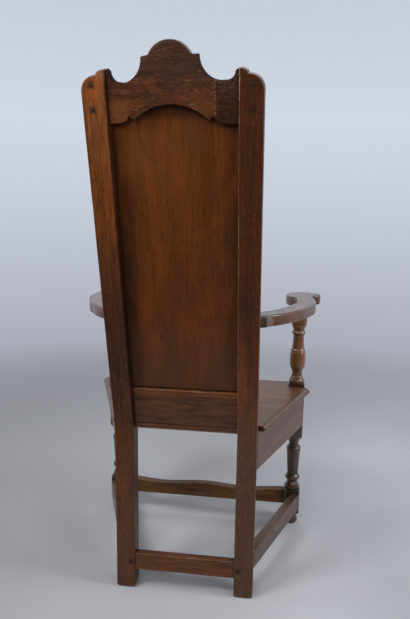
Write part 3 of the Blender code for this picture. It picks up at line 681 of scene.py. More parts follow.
def spread(tree, value, low, high, to_low, to_high):
    """A value's range turned into another, held at its ends."""
    ramp = add_node(tree, "ShaderNodeMapRange", clamp=True)
    limits = {"From Min": low, "From Max": high, "To Min": to_low, "To Max": to_high}
    for socket, number in limits.items():
        ramp.inputs[socket].default_value = number
    tree.links.new(value, ramp.inputs["Value"])
    return ramp.outputs["Result"]


def combine(tree, operation, first, second):
    """Arithmetic on two values, either of which may be a plain number."""
    made = add_node(tree, "ShaderNodeMath", operation=operation)
    for socket, value in zip(made.inputs, (first, second)):
        if isinstance(value, (int, float)):
            socket.default_value = value
        else:
            tree.links.new(value, socket)
    return made.outputs[0]


def blend_colour(tree, share, first, second, blend="MIX"):
    """Two colours mixed by a share, each a socket or linear red, green and blue."""
    made = add_node(tree, "ShaderNodeMix", data_type="RGBA", blend_type=blend)
    factor, under, over = made.inputs[0], made.inputs[6], made.inputs[7]
    for socket, value in ((factor, share), (under, first), (over, second)):
        if isinstance(value, (int, float)):
            socket.default_value = value
        elif isinstance(value, (tuple, list)):
            socket.default_value = (*value, 1.0)
        else:
            tree.links.new(value, socket)
    return made.outputs[2]


def weighted(tree, values, weights):
    """The sum of some values, each times its weight."""
    total, *others = (combine(tree, "MULTIPLY", *pair) for pair in zip(values, weights))
    for other in others:
        total = combine(tree, "ADD", total, other)
    return total


def coordinates(tree, kind="Object"):
    """A texture's coordinates, and their three parts by name."""
    place = add_node(tree, "ShaderNodeTexCoord").outputs[kind]
    parts = add_node(tree, "ShaderNodeSeparateXYZ")
    tree.links.new(place, parts.inputs[0])
    return place, parts.outputs


def mix_surface(tree, share, first, second, output):
    """Two shaders mixed by a share, as the surface of an output."""
    mix = add_node(tree, "ShaderNodeMixShader")
    for socket, value in zip(mix.inputs, (share, first.outputs[0], second.outputs[0])):
        tree.links.new(value, socket)
    tree.links.new(mix.outputs[0], tree.nodes[output].inputs["Surface"])


RUBBED_WOOD = (0.30, 0.17, 0.10)
DUSTY_WOOD = (0.155, 0.128, 0.108)
# The seat's worn colour is dust with a painted sheen
SEAT_DUST_AND_SHEEN = (0.105, 0.086, 0.072)
WARM_TINT = (1.5, 1.25, 0.85)

# Noises of the wood: scale across, through and along the board, detail and distortion. Specks and
# scratched areas lie on the object's own coordinates instead
GRAIN = {
    "broad": ((11.0, 11.0, 1.3), 3.0, 0.5),
    "bands": ((70.0, 70.0, 2.6), 4.0, 0.9),
    "streaks": ((240.0, 240.0, 13.0), 3.0, 0.3),
    "pores": ((620.0, 620.0, 42.0), 1.0),
    "clouds": ((25.0, 25.0, 6.0), 3.0, 0.8),
    "stains": ((34.0, 34.0, 9.0), 4.0, 1.2),
    "flecks": ((460.0, 460.0, 105.0), 3.0, 0.5),
    "scratches": ((430.0, 50.0, 60.0), 2.0, 0.4),
    "specks": ((70.0, 70.0, 70.0), 4.0),
    "scratched areas": ((19.0, 19.0, 19.0), 2.0),
}

# Where a noise or the wear starts and stops changing a share, and the share at each end. Where the
# last one or two are missing, the finish or the mark gives them
FIGURE_RANGE = (0.40, 0.72, 0.0, 1.0)
CLOUD_RANGE = (0.46, 0.64, 0.0, 0.8)
PORE_RANGE = (0.55, 0.70, 0.0, 0.6)
STAIN_RANGE = (0.50, 0.68, 0.0)
SPECK_RANGE = (0.36, 0.60, 0.10, 1.0)
RUB_AND_HIGHLIGHT_RANGE = (0.25, 1.0, 0.0)
DIRT_AND_SHADE_RANGE = (-1.0, 0.0, 0.85, 0.0)
DIRT_ROUGHNESS = (-1.0, 0.0, 0.4, 0.0)
DARK_FLECK_RANGE = (0.52, 0.64, 0.0)
PALE_FLECK_RANGE = (0.36, 0.46)
SCRATCH_RANGE = (0.65, 0.69, 0.0)
SCRATCHED_AREA = (0.47, 0.58, 0.0, 1.0)
GLOSS_RANGE = (0.3, 0.7)
MARK_RANGE = (0.36, 0.56)

# Tones of the wood as factors of its colour
FIGURE_CONTRAST = 0.42
PORE_TONE = 0.34
STAIN_TONE = 0.25
DIRT_AND_SHADE_TONE = 0.12
DARK_FLECK_TONE = 0.35
PALE_FLECK_TONE = 2.2
PALE_FLECK_SHARE = 0.5

# Weights of bands, streaks and broad figure in the tone; of stains and streaks in the gloss; of
# streaks, pores, bands and specks in the relief
FIGURE_WEIGHTS = (0.36, 0.40, 0.34)
GLOSS_WEIGHTS = (0.6, 0.4)
RELIEF_WEIGHTS = (0.7, -0.4, 0.6, 0.4)
SMOOTHER = 0.08
ROUGHER = 0.12
RELIEF_STRENGTH = 0.32
RELIEF_DEPTH = 0.0010

# Lifts make a wood darker or lighter with height: a low and a high level, and the factor at each
STILE_LIFTS = {
    "left": ((0.42, 0.62, 0.88, 0.52), (0.74, 0.95, 1.0, 2.3), (1.0, 1.25, 1.0, 2.7)),
    "right": ((0.58, 0.76, 1.70, 0.80), (0.34, 0.47, 0.55, 1.0)),
}
POST_LIFTS = ((0.40, 0.52, 0.50, 1.75), (0.62, 0.70, 1.0, 0.7))
APRON_LIFTS = ((0.08, 0.20, 0.78, 1.0),)

# What sets each finish apart from plain waxed wood
FINISHES = {
    "stile": {"figure": 1.2, "scratches": 0.3, "shine": 0.17, "flecks": 0.3},
    "crest": {
        "figure": 1.75,
        "roughness": 0.5,
        "coat": (0.0, 0.24),
        "scratches": 0.6,
        "stains": 0.7,
        "shine": 0.12,
        "flecks": 0.75,
    },
    "panel": {"figure": 0.55, "roughness": 0.46, "coat": (0.0, 0.24), "stains": 0.2, "shine": 0.15},
    "rail": {"figure": 1.3, "stains": 0.6, "shine": 0.22},
    "front stretcher": {"stains": 0.6, "shine": 0.22},
    "apron": {"coat": (0.38, 0.24), "lifts": APRON_LIFTS},
    "seat": {"roughness": 0.38, "coat": (0.18, 0.24), "wear": 0.6, "worn": SEAT_DUST_AND_SHEEN},
    "post": {"figure": 0.9, "roughness": 0.26, "coat": (0.6, 0.10), "wear": 0.30, "lifts": POST_LIFTS},
    "arm": {"figure": 0.9, "roughness": 0.32, "coat": (0.40, 0.24), "wear": 0.7, "worn": DUSTY_WOOD},
    "peg": {"figure": 0.8, "roughness": 0.6, "coat": (0.0, 0.24), "wear": 0.35, "shine": 0.1},
}


def toned(colour, factor):
    """A colour times a factor, each part held at 1."""
    return tuple(min(channel * factor, 1.0) for channel in colour)


def waxed_wood(
    name,
    colour,
    figure=1.0,
    roughness=0.42,
    coat=(0.08, 0.24),
    wear=0.5,
    worn=RUBBED_WOOD,
    scratches=0.0,
    stains=0.3,
    flecks=0.0,
    shine=0.42,
    lifts=(),
):
    """Old waxed wood: figure drawn out along the grain, fine streaks and pores, warm and dark
    clouds, edges rubbed pale, dirt in the hollows and a satin coat.

    coat is its weight and roughness, shine the level of the plain gloss, worn the colour of
    rubbed edges, on the seat dust with a painted sheen, and wear the most of it that shows. The
    wear attribute brings painted highlights above 0 and painted shade below 0 on some pieces.
    """
    material = bpy.data.materials.new(name)
    material.use_nodes = True
    tree = material.node_tree
    shader = tree.nodes["Principled BSDF"]
    board = add_node(tree, "ShaderNodeAttribute", attribute_name="board").outputs["Vector"]
    rub = add_node(tree, "ShaderNodeAttribute", attribute_name="wear").outputs["Fac"]
    place, parts = coordinates(tree)
    grains = ("broad", "bands", "streaks", "pores", "clouds", "stains")
    broad, bands, streaks, pores, cloud, stain = (grain_noise(tree, board, *GRAIN[key]) for key in grains)
    speck = grain_noise(tree, place, *GRAIN["specks"])
    light = spread(tree, weighted(tree, (bands, streaks, broad), FIGURE_WEIGHTS), *FIGURE_RANGE)
    contrast = FIGURE_CONTRAST * figure
    base = blend_colour(tree, light, toned(colour, 1.0 - contrast), toned(colour, 1.0 + contrast))
    warm = blend_colour(tree, 1.0, base, WARM_TINT, "MULTIPLY")
    base = blend_colour(tree, spread(tree, cloud, *CLOUD_RANGE), base, warm)
    for lift in lifts:
        base = blend_colour(tree, 1.0, base, spread(tree, parts["Z"], *lift), "MULTIPLY")
    open_pores = spread(tree, pores, *PORE_RANGE)
    base = blend_colour(tree, open_pores, base, toned(colour, PORE_TONE))
    base = blend_colour(tree, spread(tree, stain, *STAIN_RANGE, stains), base, toned(colour, STAIN_TONE))
    # Above 0 the wear attribute rubs edges pale, and on some pieces paints highlights and sheen; below 0
    # it darkens with dirt, and on some pieces with painted shade
    rubbed = combine(tree, "MULTIPLY", rub, spread(tree, speck, *SPECK_RANGE))
    base = blend_colour(tree, spread(tree, rubbed, *RUB_AND_HIGHLIGHT_RANGE, wear), base, worn)
    base = blend_colour(tree, spread(tree, rub, *DIRT_AND_SHADE_RANGE), base, toned(colour, DIRT_AND_SHADE_TONE))
    if flecks:
        fleck = grain_noise(tree, board, *GRAIN["flecks"])
        dark = spread(tree, fleck, *DARK_FLECK_RANGE, flecks)
        base = blend_colour(tree, dark, base, toned(colour, DARK_FLECK_TONE))
        pale = spread(tree, fleck, *PALE_FLECK_RANGE, PALE_FLECK_SHARE * flecks, 0.0)
        base = blend_colour(tree, pale, base, toned(colour, PALE_FLECK_TONE))
    if scratches:
        cuts = spread(tree, grain_noise(tree, board, *GRAIN["scratches"]), *SCRATCH_RANGE, scratches)
        area = spread(tree, grain_noise(tree, place, *GRAIN["scratched areas"]), *SCRATCHED_AREA)
        base = blend_colour(tree, combine(tree, "MULTIPLY", cuts, area), base, RUBBED_WOOD)
    tree.links.new(base, shader.inputs["Base Color"])
    gloss = weighted(tree, (stain, streaks), GLOSS_WEIGHTS)
    rough = spread(tree, gloss, *GLOSS_RANGE, roughness - SMOOTHER, roughness + ROUGHER)
    rough = combine(tree, "ADD", rough, spread(tree, rub, *DIRT_ROUGHNESS))
    tree.links.new(rough, shader.inputs["Roughness"])
    bump = add_node(tree, "ShaderNodeBump")
    bump.inputs["Strength"].default_value = RELIEF_STRENGTH
    bump.inputs["Distance"].default_value = RELIEF_DEPTH
    relief = weighted(tree, (streaks, open_pores, bands, speck), RELIEF_WEIGHTS)
    tree.links.new(relief, bump.inputs["Height"])
    tree.links.new(bump.outputs["Normal"], shader.inputs["Normal"])
    shader.inputs["Specular IOR Level"].default_value = shine
    shader.inputs["Coat Weight"].default_value, shader.inputs["Coat Roughness"].default_value = coat
    return material


def overlay(material, share, colour):
    """Lays a colour over what a finish already shows, by a share of 0 to 1."""
    tree = material.node_tree
    target = tree.nodes["Principled BSDF"].inputs["Base Color"]
    under = target.links[0].from_socket
    tree.links.new(blend_colour(tree, share, under, colour), target)


def between(tree, value, low, high, blur):
    """1 where a value lies between two limits, falling to 0 over the blur at either side."""
    above = spread(tree, value, low - blur, low, 0.0, 1.0)
    below = spread(tree, value, high, high + blur, 1.0, 0.0)
    return combine(tree, "MULTIPLY", above, below)


# Marks on the wood: limits across, limits of height, blur, least and most share, and colour
CREST_MARKS = {
    "tooled end": ((-0.128, -0.083), (1.10, 1.26), 0.0015, (0.30, 0.66), (0.012, 0.006, 0.004)),
    "tool marks": ((-0.120, -0.092), (1.205, 1.232), 0.012, (-9.0, 0.34), (0.150, 0.090, 0.058)),
    "amber corner": ((0.094, 0.128), (1.10, 1.180), 0.010, (0.34, 0.75), (0.160, 0.050, 0.016)),
    "amber right": ((-0.078, -0.045), (1.165, 1.180), 0.012, (0.23, 0.50), (0.130, 0.042, 0.012)),
    "dark middle": ((-0.004, 0.014), (1.200, 1.206), 0.007, (0.20, 0.45), (0.016, 0.010, 0.010)),
    "amber arch": ((-0.080, 0.090), (1.150, 1.186), 0.012, (0.05, 0.38), (0.120, 0.044, 0.011)),
    "dark dome": ((-0.060, 0.060), (1.232, 1.300), 0.030, (0.25, 0.60), (0.027, 0.017, 0.013)),
    "left joint": ((0.1255, 0.130), (1.10, 1.30), 0.0020, (0.41, 0.90), (0.005, 0.003, 0.002)),
    "right joint": ((-0.130, -0.1262), (1.10, 1.30), 0.0015, (0.36, 0.80), (0.005, 0.003, 0.002)),
}
PANEL_JOINT = BEND_HEIGHT + BACK_RAIL_TOP * math.cos(RAKE) + PANEL_RECESS * math.sin(RAKE) + 0.003
PANEL_MARKS = {
    # The first four are painted shade: the left stile's shadow, the shade by the right stile and the
    # crest's shadow
    "left stile's shadow": ((0.114, 0.140), (0.40, 1.02), 0.024, (0.30, 0.65), (0.014, 0.006, 0.002)),
    "left stile's shadow at the top": ((0.121, 0.140), (1.03, 1.25), 0.010, (0.22, 0.50), (0.014, 0.006, 0.002)),
    "shade by the right stile": ((-0.140, -0.116), (0.40, 1.25), 0.025, (0.23, 0.50), (0.020, 0.008, 0.002)),
    "shadow under the crest": ((-0.140, 0.140), (1.160, 1.25), 0.010, (0.25, 0.55), (0.012, 0.005, 0.002)),
    "amber middle": ((0.000, 0.060), (1.05, 1.12), 0.060, (0.16, 0.35), (0.150, 0.047, 0.010)),
    "amber left": ((0.078, 0.100), (1.06, 1.22), 0.030, (0.15, 0.36), (0.160, 0.055, 0.013)),
    "dusty foot": ((-0.140, 0.140), (0.40, 0.62), 0.120, (0.30, 0.62), (0.074, 0.031, 0.017)),
    "rail joint": ((-0.140, 0.140), (0.40, PANEL_JOINT), 0.003, (0.43, 0.95), (0.006, 0.003, 0.001)),
}
PEG_DIRT_AND_SHADE = 0.0052
PEG_DIRT_AND_SHADE_LOOK = (0.004, (0.35, 0.70), (0.014, 0.008, 0.005))


def peg_dirt_and_shade(side):
    """Marks of dirt and painted shade round the pegs that show on a stile's back."""
    upper = BEND_HEIGHT + CREST_PEG_RISE * math.cos(RAKE)
    places = {
        "upper peg": (CREST_PEG_X, upper),
        "lower peg": (CREST_PEG_X, upper - CREST_PEG_PITCH * math.cos(RAKE)),
        "leg peg": (STRETCHER_PEG_X, REAR_STRETCHER[0] + REAR_STRETCHER[1] / 2),
    }
    marks = {}
    for name, (x, z) in places.items():
        across = (side * x - PEG_DIRT_AND_SHADE, side * x + PEG_DIRT_AND_SHADE)
        marks[name] = (across, (z - PEG_DIRT_AND_SHADE, z + PEG_DIRT_AND_SHADE), *PEG_DIRT_AND_SHADE_LOOK)
    return marks


STILE_MARKS = {
    "left": {
        # Painted shade on the inner face of the leg, turned away from the light
        "shaded inner face": ((0.1270, 0.1290), (0.02, 0.43), 0.0006, (0.35, 0.60), (0.030, 0.022, 0.018)),
        # Painted light bounced from the floor, low on the leg
        "floor light on the leg": ((0.10, 0.20), (0.0, 0.25), 0.25, (0.10, 0.30), (0.105, 0.058, 0.036)),
        # Painted shade along the inner arris above the seat
        "shaded inner arris": ((0.1275, 0.1300), (0.45, 1.26), 0.0008, (0.27, 0.60), (0.012, 0.006, 0.003)),
        "pale ear": ((0.128, 0.150), (1.228, 1.30), 0.008, (0.25, 0.55), (0.230, 0.120, 0.080)),
    },
    "right": {
        # Painted light bounced from the floor, low on the leg
        "floor light on the leg": ((-0.20, -0.10), (0.0, 0.38), 0.25, (0.30, 0.60), (0.105, 0.058, 0.036)),
        # The inner back arris, here and below, is worn and painted with a highlight
        "bright arris": ((-0.1293, -0.1277), (1.183, 1.25), 0.0006, (0.38, 0.85), (0.340, 0.230, 0.170)),
        "pale arris": ((-0.1292, -0.1276), (0.45, 1.183), 0.0006, (0.20, 0.45), (0.200, 0.100, 0.060)),
    },
}
POST_MARKS = {
    # Grime and painted shade on the lower block
    "dirty, shaded lower block": (
        (-0.5, 0.5), (FOOT_HEIGHT, LOWER_BLOCK_TOP), 0.002, (0.36, 0.80), (0.014, 0.009, 0.006)
    ),
    "plinth": (
        (-0.5, 0.5), (SEAT_HEIGHT - 0.002, PLINTH_TOP + 0.004), 0.006, (0.41, 0.90), (0.010, 0.006, 0.004)
    ),
}

# Scales of the noises that break up the marks
MARK_SCALES = {
    "stile": (300.0, 300.0, 60.0),
    "crest": (220.0, 220.0, 380.0),
    "panel": (70.0, 70.0, 14.0),
    "post": (90.0, 90.0, 90.0),
}

# The line scribed down the crest: limits across, blur, colour, noise of its dashes and its range
SCRIBED_LINE = (-0.0836, -0.0818, 0.0008)
SCRIBED_COLOUR = (0.15, 0.085, 0.052)
SCRIBED_DASHES = ((30.0, 30.0, 330.0), 2.0)
SCRIBED_RANGE = (0.42, 0.56, 0.0, 0.85)


def mark_wood(material, marks, scale):
    """Adds clouds of colour between their limits, broken up by noise of that scale."""
    tree = material.node_tree
    place, parts = coordinates(tree)
    broken = grain_noise(tree, place, scale, 4.0)
    for across, heights, blur, shares, colour in marks.values():
        share = spread(tree, broken, *MARK_RANGE, *shares)
        for value, (low, high) in ((parts["X"], across), (parts["Z"], heights)):
            share = combine(tree, "MULTIPLY", share, between(tree, value, low, high, blur))
        overlay(material, share, colour)


def scribe_crest(material):
    """Adds the line scribed down the crest's back, in short dashes."""
    tree = material.node_tree
    place, parts = coordinates(tree)
    dashes = spread(tree, grain_noise(tree, place, *SCRIBED_DASHES), *SCRIBED_RANGE)
    line = between(tree, parts["X"], *SCRIBED_LINE)
    overlay(material, combine(tree, "MULTIPLY", line, dashes), SCRIBED_COLOUR)


# Pieces


def stile_lines(side):
    """Four corner lines of a stile from the sole to the ear, and how far each section draws in.

    The leg stands straight to the bend, where one mitred section turns into the rake. Near the
    top the outer line follows a quarter round to the shoulder, then the outer half of the ear,
    and at the very top the inner line follows the ear too. The last value is one over the cosine
    of the outer line's lean, by which its easing widens so that the arris keeps its radius.
    """
    legs = np.concatenate([SOLE_LEVELS, np.linspace(LEG_START, BEND_HEIGHT - BEND_MARGIN, 14)])
    rises = np.linspace(BEND_MARGIN, SHOULDER_RISE - SHOULDER_RADIUS, 28)
    turn = np.linspace(0.05, 1.0, 14) * math.pi / 2
    rounds = SHOULDER_RISE - SHOULDER_RADIUS * (1 - np.sin(turn))
    round_out = HALF_BACK - SHOULDER_RADIUS * (1 - np.cos(turn))
    climb = np.linspace(math.asin((SHOULDER_RISE - EAR_RISE) / EAR_RADIUS), 0.97 * math.pi / 2, 10)
    ears = EAR_RISE + EAR_RADIUS * np.sin(climb) + EAR_LIFT
    ear_out = EAR_CENTRE + EAR_RADIUS * np.cos(climb)
    ear_in = np.maximum(HALF_INNER, EAR_CENTRE - EAR_RADIUS * np.cos(climb))
    rise = np.concatenate([rises, rounds, ears])
    outer = np.concatenate([np.full(len(rises), HALF_BACK), round_out, ear_out])
    inner = np.concatenate([np.full(len(rises) + len(rounds), HALF_INNER), ear_in])
    bend = np.array([[BEND_HEIGHT, BEND_HEIGHT + STILE_DEPTH * math.tan(RAKE / 2)]])
    heights = np.concatenate([np.stack([legs, legs], axis=1), bend])
    lines = []
    for x_leg, x_rise, front in (
        (HALF_INNER, inner, 0),
        (HALF_BACK, outer, 0),
        (HALF_BACK, outer, 1),
        (HALF_INNER, inner, 1),
    ):
        leg = upright(side * x_leg, -STILE_DEPTH * front, heights[:, front])
        lines.append(np.concatenate([leg, raked(side * x_rise, rise, STILE_DEPTH * front)]))
    draw_in = np.zeros(len(lines[0]))
    draw_in[: len(SOLE_DRAW_IN)] = SOLE_DRAW_IN
    draw_in[-len(EAR_DRAW_IN) :] = EAR_DRAW_IN
    stretch = np.ones(len(lines[0]))
    slope = np.concatenate([turn, climb])
    stretch[-len(slope) :] = np.minimum(1 / np.cos(slope), MOST_STRETCH)
    return lines, draw_in, stretch


def crest_outline():
    """Half of the crest's outline from the dome's top to the arch's crown, and its mirror image.

    Arcs in turn: the dome, a quarter ellipse down to the low point, the cove, the inner part of
    the ear, the lobe and the arch. The second value is the share of the easing at each point,
    least along the ends that meet the stiles.
    """
    end = HALF_INNER - CLEARANCE
    dome_radius = (DOME_HALF_WIDTH**2 + DOME_HEIGHT**2) / (2 * DOME_HEIGHT)
    spread_angle = math.degrees(math.asin(DOME_HALF_WIDTH / dome_radius))
    dome_centre = (0.0, LEDGE_RISE + DOME_HEIGHT - dome_radius)
    corner = DOME_HALF_WIDTH + LEDGE_WIDTH
    cove_height = LEDGE_RISE - SWEEP_DROP + EAR_COVE_RADIUS
    ear_side = EAR_CENTRE - math.sqrt(EAR_RADIUS**2 - (cove_height - EAR_RISE) ** 2)
    join_angle = math.degrees(math.acos((ear_side - EAR_CENTRE) / EAR_RADIUS))
    end_angle = math.degrees(math.acos((end - EAR_CENTRE) / EAR_RADIUS))
    arch_radius = (ARCH_HALF_WIDTH**2 + ARCH_RISE**2) / (2 * ARCH_RISE)
    arch_spread = math.degrees(math.asin(ARCH_HALF_WIDTH / arch_radius))
    lobe_bottom = NOTCH_RISE - LOBE_DROP
    lobe_centre = (ARCH_HALF_WIDTH + NOTCH_WIDTH + LOBE_WIDTH, NOTCH_RISE)
    lobe = arc(lobe_centre, (LOBE_WIDTH, LOBE_DROP), 270, 180, 12)
    lobe[:, 1] += LOBE_FLATTENING * (np.linspace(lobe_bottom, NOTCH_RISE, len(lobe)) - lobe[:, 1])
    ear_end = arc((EAR_CENTRE, EAR_RISE), (EAR_RADIUS,) * 2, join_angle, end_angle, 8)[1:]
    ends = np.array([[end, EAR_RISE - EAR_RADIUS], [end, lobe_bottom]])
    arch_centre = (0.0, ARCH_CROWN - arch_radius)
    parts = [
        arc(dome_centre, (dome_radius,) * 2, 90, 90 - spread_angle, 20),
        np.array([[corner, LEDGE_RISE]]),
        arc((corner + SWEEP_WIDTH, LEDGE_RISE), (SWEEP_WIDTH, SWEEP_DROP), 190, 270, 18),
        arc((ear_side - EAR_COVE_RADIUS, cove_height), (EAR_COVE_RADIUS,) * 2, 270, 360, 10)[1:],
        ear_end,
        ends,
        lobe,
        np.array([[ARCH_HALF_WIDTH + NOTCH_WIDTH * NOTCH_PLACE, NOTCH_RISE + NOTCH_CUT]]),
        arc(arch_centre, (arch_radius,) * 2, 90 - arch_spread, 90 - arch_spread, 0),
        arc(arch_centre, (arch_radius,) * 2, 94 - arch_spread, 90, 22),
    ]
    half = np.concatenate(parts)
    at_ear = (half[:, 0] > corner + SWEEP_WIDTH) & (half[:, 1] > NOTCH_RISE + LOBE_DROP)
    ear_hold = np.clip((end - half[:, 0]) / EAR_HOLD_FADE, CREST_END_HOLD, EAR_HOLD)
    hold = np.where(at_ear, ear_hold, 1.0)
    hold = np.where(half[:, 1] < ARCH_CROWN + CROWN_MARGIN, LOWER_EDGE_HOLD, hold)
    hold = np.where(half[:, 0] > end - NEAR, CREST_END_HOLD, hold)
    mirror = half[-2:0:-1] * np.array([-1.0, 1.0])
    outline = np.concatenate([half, mirror])
    return hand_cut(outline, end), np.concatenate([hold, hold[-2:0:-1]])


def hand_cut(outline, end):
    """The crest's outline made uneven.

    It shifts across and its top drops, both less towards the ends at the stiles, and its lower
    edge drops evenly.
    """
    x, rise = outline.T
    lower = rise < ARCH_CROWN + CROWN_MARGIN
    free = np.clip((end - np.abs(x)) / CREST_END_FADE, 0, 1)
    left = np.clip((x - DOME_HALF_WIDTH) / LEDGE_WIDTH, 0, 1) * free
    drop = np.where(lower, LOWER_EDGE_DROP, DOME_DROP * free + LEFT_SWEEP_DROP * left)
    return np.stack([x + CREST_SHIFT * free, rise - drop], axis=1)


# Places along a rail from -1 to 1, closer together towards its ends
RAIL_STEPS = np.sin(np.linspace(-0.5, 0.5, 61) * math.pi)


def side_rail_lines(side, thickness, bottom, top):
    """Corner lines of a splayed rail from the stile's front face to the post's rear face."""
    start = STILE_DEPTH + CLEARANCE
    end = POST_REAR - CLEARANCE
    y = start + (end - start) * (RAIL_STEPS + 1) / 2
    outer = HALF_BACK + (y - STILE_DEPTH) * math.tan(SPLAY)
    inner = outer - thickness / math.cos(SPLAY)
    corners = ((inner, bottom), (outer, bottom), (outer, top), (inner, top))
    return [upright(side * x, -y, z) for x, z in corners]


def cross_rail_lines(half_length, back, front, bottom, top):
    """Corner lines of a rail across the chair, its bottom and top levels or lines of levels."""
    x = half_length * RAIL_STEPS
    corners = ((back, bottom), (front, bottom), (front, top), (back, top))
    return [upright(x, y, z) for y, z in corners]


def hollow(t):
    """One less a quarter wave of the cosine: flat where it starts."""
    return 1 - np.cos(math.pi * t / 2)


def swell(t):
    """A quarter wave of the sine: flat where it ends."""
    return np.sin(math.pi * t / 2)


def ogee(t):
    """Half a wave of the cosine: flat at both ends."""
    return (1 - np.cos(math.pi * t)) / 2


def straight(t):
    """An even run from end to end."""
    return t


# Runs of the turnings from the bottom: height, radius at the end, and shape
FOOT_RUNS = (
    (0.011, 0.0205, swell),
    (0.010, 0.0172, hollow),
    (0.002, 0.0172, straight),
    (FOOT_HEIGHT - 0.023, SQUARE_CORNER, hollow),
)
LEG_RUNS = (
    (0.004, 0.0215, swell),
    (0.0175, 0.0150, hollow),
    (0.004, 0.0148, straight),
    (0.0085, 0.0216, swell),
    (0.004, 0.0216, straight),
    (0.009, 0.0160, hollow),
)
LEG_TOP_RUNS = (
    (0.0015, 0.0213, swell),
    (0.006, 0.0213, straight),
    (0.0075, 0.0146, hollow),
    (0.0035, 0.0142, straight),
    (0.0335, SQUARE_CORNER, hollow),
)
BALUSTER_RUNS = (
    (0.0045, 0.0233, swell),
    (0.0120, 0.0200, hollow),
    (0.0010, 0.0186, straight),
    (0.0015, 0.0192, swell),
    (0.0055, 0.0158, hollow),
    (0.0030, 0.0150, swell),
    (0.0080, 0.0150, straight),
    (0.0220, 0.0224, ogee),
    (0.0145, 0.0233, swell),
    (0.0265, 0.0218, hollow),
    (0.0012, 0.0210, straight),
    (0.0014, 0.0214, swell),
    (0.0080, 0.0180, hollow),
)
BALUSTER_TOP_RUNS = (
    (0.0010, 0.0150, straight),
    (0.0078, 0.0200, swell),
    (0.0078, 0.0160, hollow),
    (0.0026, 0.0158, straight),
    (0.0158, 0.0220, swell),
    (0.0012, 0.0206, straight),
    (0.0012, 0.0230, straight),
    (0.0346, 0.0230, straight),
    (0.0080, 0.0190, hollow),
    (0.0030, 0.0190, straight),
    (0.0010, POST_PAD_RADIUS, straight),
    (0.0077, POST_PAD_RADIUS, straight),
)


def turned(start_height, start_radius, runs):
    """Heights and radii along a turner's runs, each from the radius where the last one ended."""
    heights = [np.array([start_height])]
    radii = [np.array([start_radius])]
    for height, radius, shape in runs:
        t = np.linspace(0, 1, 3 if shape is straight else 13)[1:]
        radii.append(radii[-1][-1] + (radius - radii[-1][-1]) * shape(t))
        heights.append(heights[-1][-1] + height * t)
    return np.concatenate(heights), np.concatenate(radii)


def run_height(runs):
    """The height of some runs together."""
    return sum(height for height, _, _ in runs)


def post_levels(arm_seat):
    """Heights and radii of a whole post, with square lengths where the radius passes the corners."""
    vase_bottom = LOWER_BLOCK_TOP + run_height(LEG_RUNS)
    vase = UPPER_BLOCK_BOTTOM - vase_bottom - run_height(LEG_TOP_RUNS)
    neck_bottom = PLINTH_TOP + run_height(BALUSTER_RUNS)
    neck = arm_seat - neck_bottom - run_height(BALUSTER_TOP_RUNS)
    leg_runs = (*LEG_RUNS, (vase, VASE_RADIUS, straight), *LEG_TOP_RUNS)
    baluster_runs = (*BALUSTER_RUNS, (neck, NECK_RADIUS, swell), *BALUSTER_TOP_RUNS)
    foot = turned(0.0, FOOT_RADIUS, FOOT_RUNS)
    leg = turned(LOWER_BLOCK_TOP, LEG_RADIUS, leg_runs)
    baluster = turned(PLINTH_TOP, BALUSTER_RADIUS, baluster_runs)
    blocks = []
    for bottom, top in ((FOOT_HEIGHT, LOWER_BLOCK_TOP), (UPPER_BLOCK_BOTTOM, PLINTH_TOP)):
        flat = np.linspace(bottom + BLOCK_FLAT, top - BLOCK_FLAT, 8)
        z = np.array([bottom, bottom + BLOCK_END, *flat, top - BLOCK_END, top])
        r = np.full(len(z), BLOCK_RADIUS)
        r[0] = SQUARE_CORNER
        r[-1] = BLOCK_TOP_RADIUS
        blocks.append((z, r))
    parts = [foot, blocks[0], leg, blocks[1], baluster]
    return np.concatenate([part[0] for part in parts]), np.concatenate([part[1] for part in parts])


def post_surface(x, arm_seat):
    """A square bar worked down to the turned radius wherever that is smaller.

    At each height and angle the reach is the least of the turned radius, the square's flat and
    its eased corner. Points that stand out from the profile's running mean are rubbed, and
    points sunk below it hold dirt.
    """
    height, radius = post_levels(arm_seat)
    angle = np.arange(POST_POINTS) * 2 * math.pi / POST_POINTS
    flat = HALF_POST / np.maximum(np.abs(np.cos(angle)), np.abs(np.sin(angle)))
    square = np.minimum(flat, SQUARE_CORNER - BLOCK_EASING)
    reach = np.minimum(radius[:, None], square)
    u = reach * np.cos(angle)
    v = reach * np.sin(angle)
    z = np.broadcast_to(height[:, None], u.shape)
    rings = upright(x + u, -POST_REACH + v, z)
    board = np.stack([u, v, z], axis=-1)
    grid = np.arange(0.0, height[-1], PROFILE_STEP)
    even = np.interp(grid, height, np.minimum(radius, PROFILE_RADIUS))
    window = np.ones(PROFILE_WINDOW) / PROFILE_WINDOW
    mean = np.convolve(np.pad(even, PROFILE_WINDOW // 2, mode="edge"), window, mode="valid")
    proud = np.interp(height, grid, even - mean) / FULLY_PROUD
    turned_wear = np.clip(proud, -1, TURNED_WEAR)[:, None]
    corner = np.clip((reach - CORNER_WEAR_FROM) / CORNER_WEAR_OVER, 0, 1)
    wear = np.where(reach > CORNER_FROM, corner, turned_wear)
    return rings, board, wear


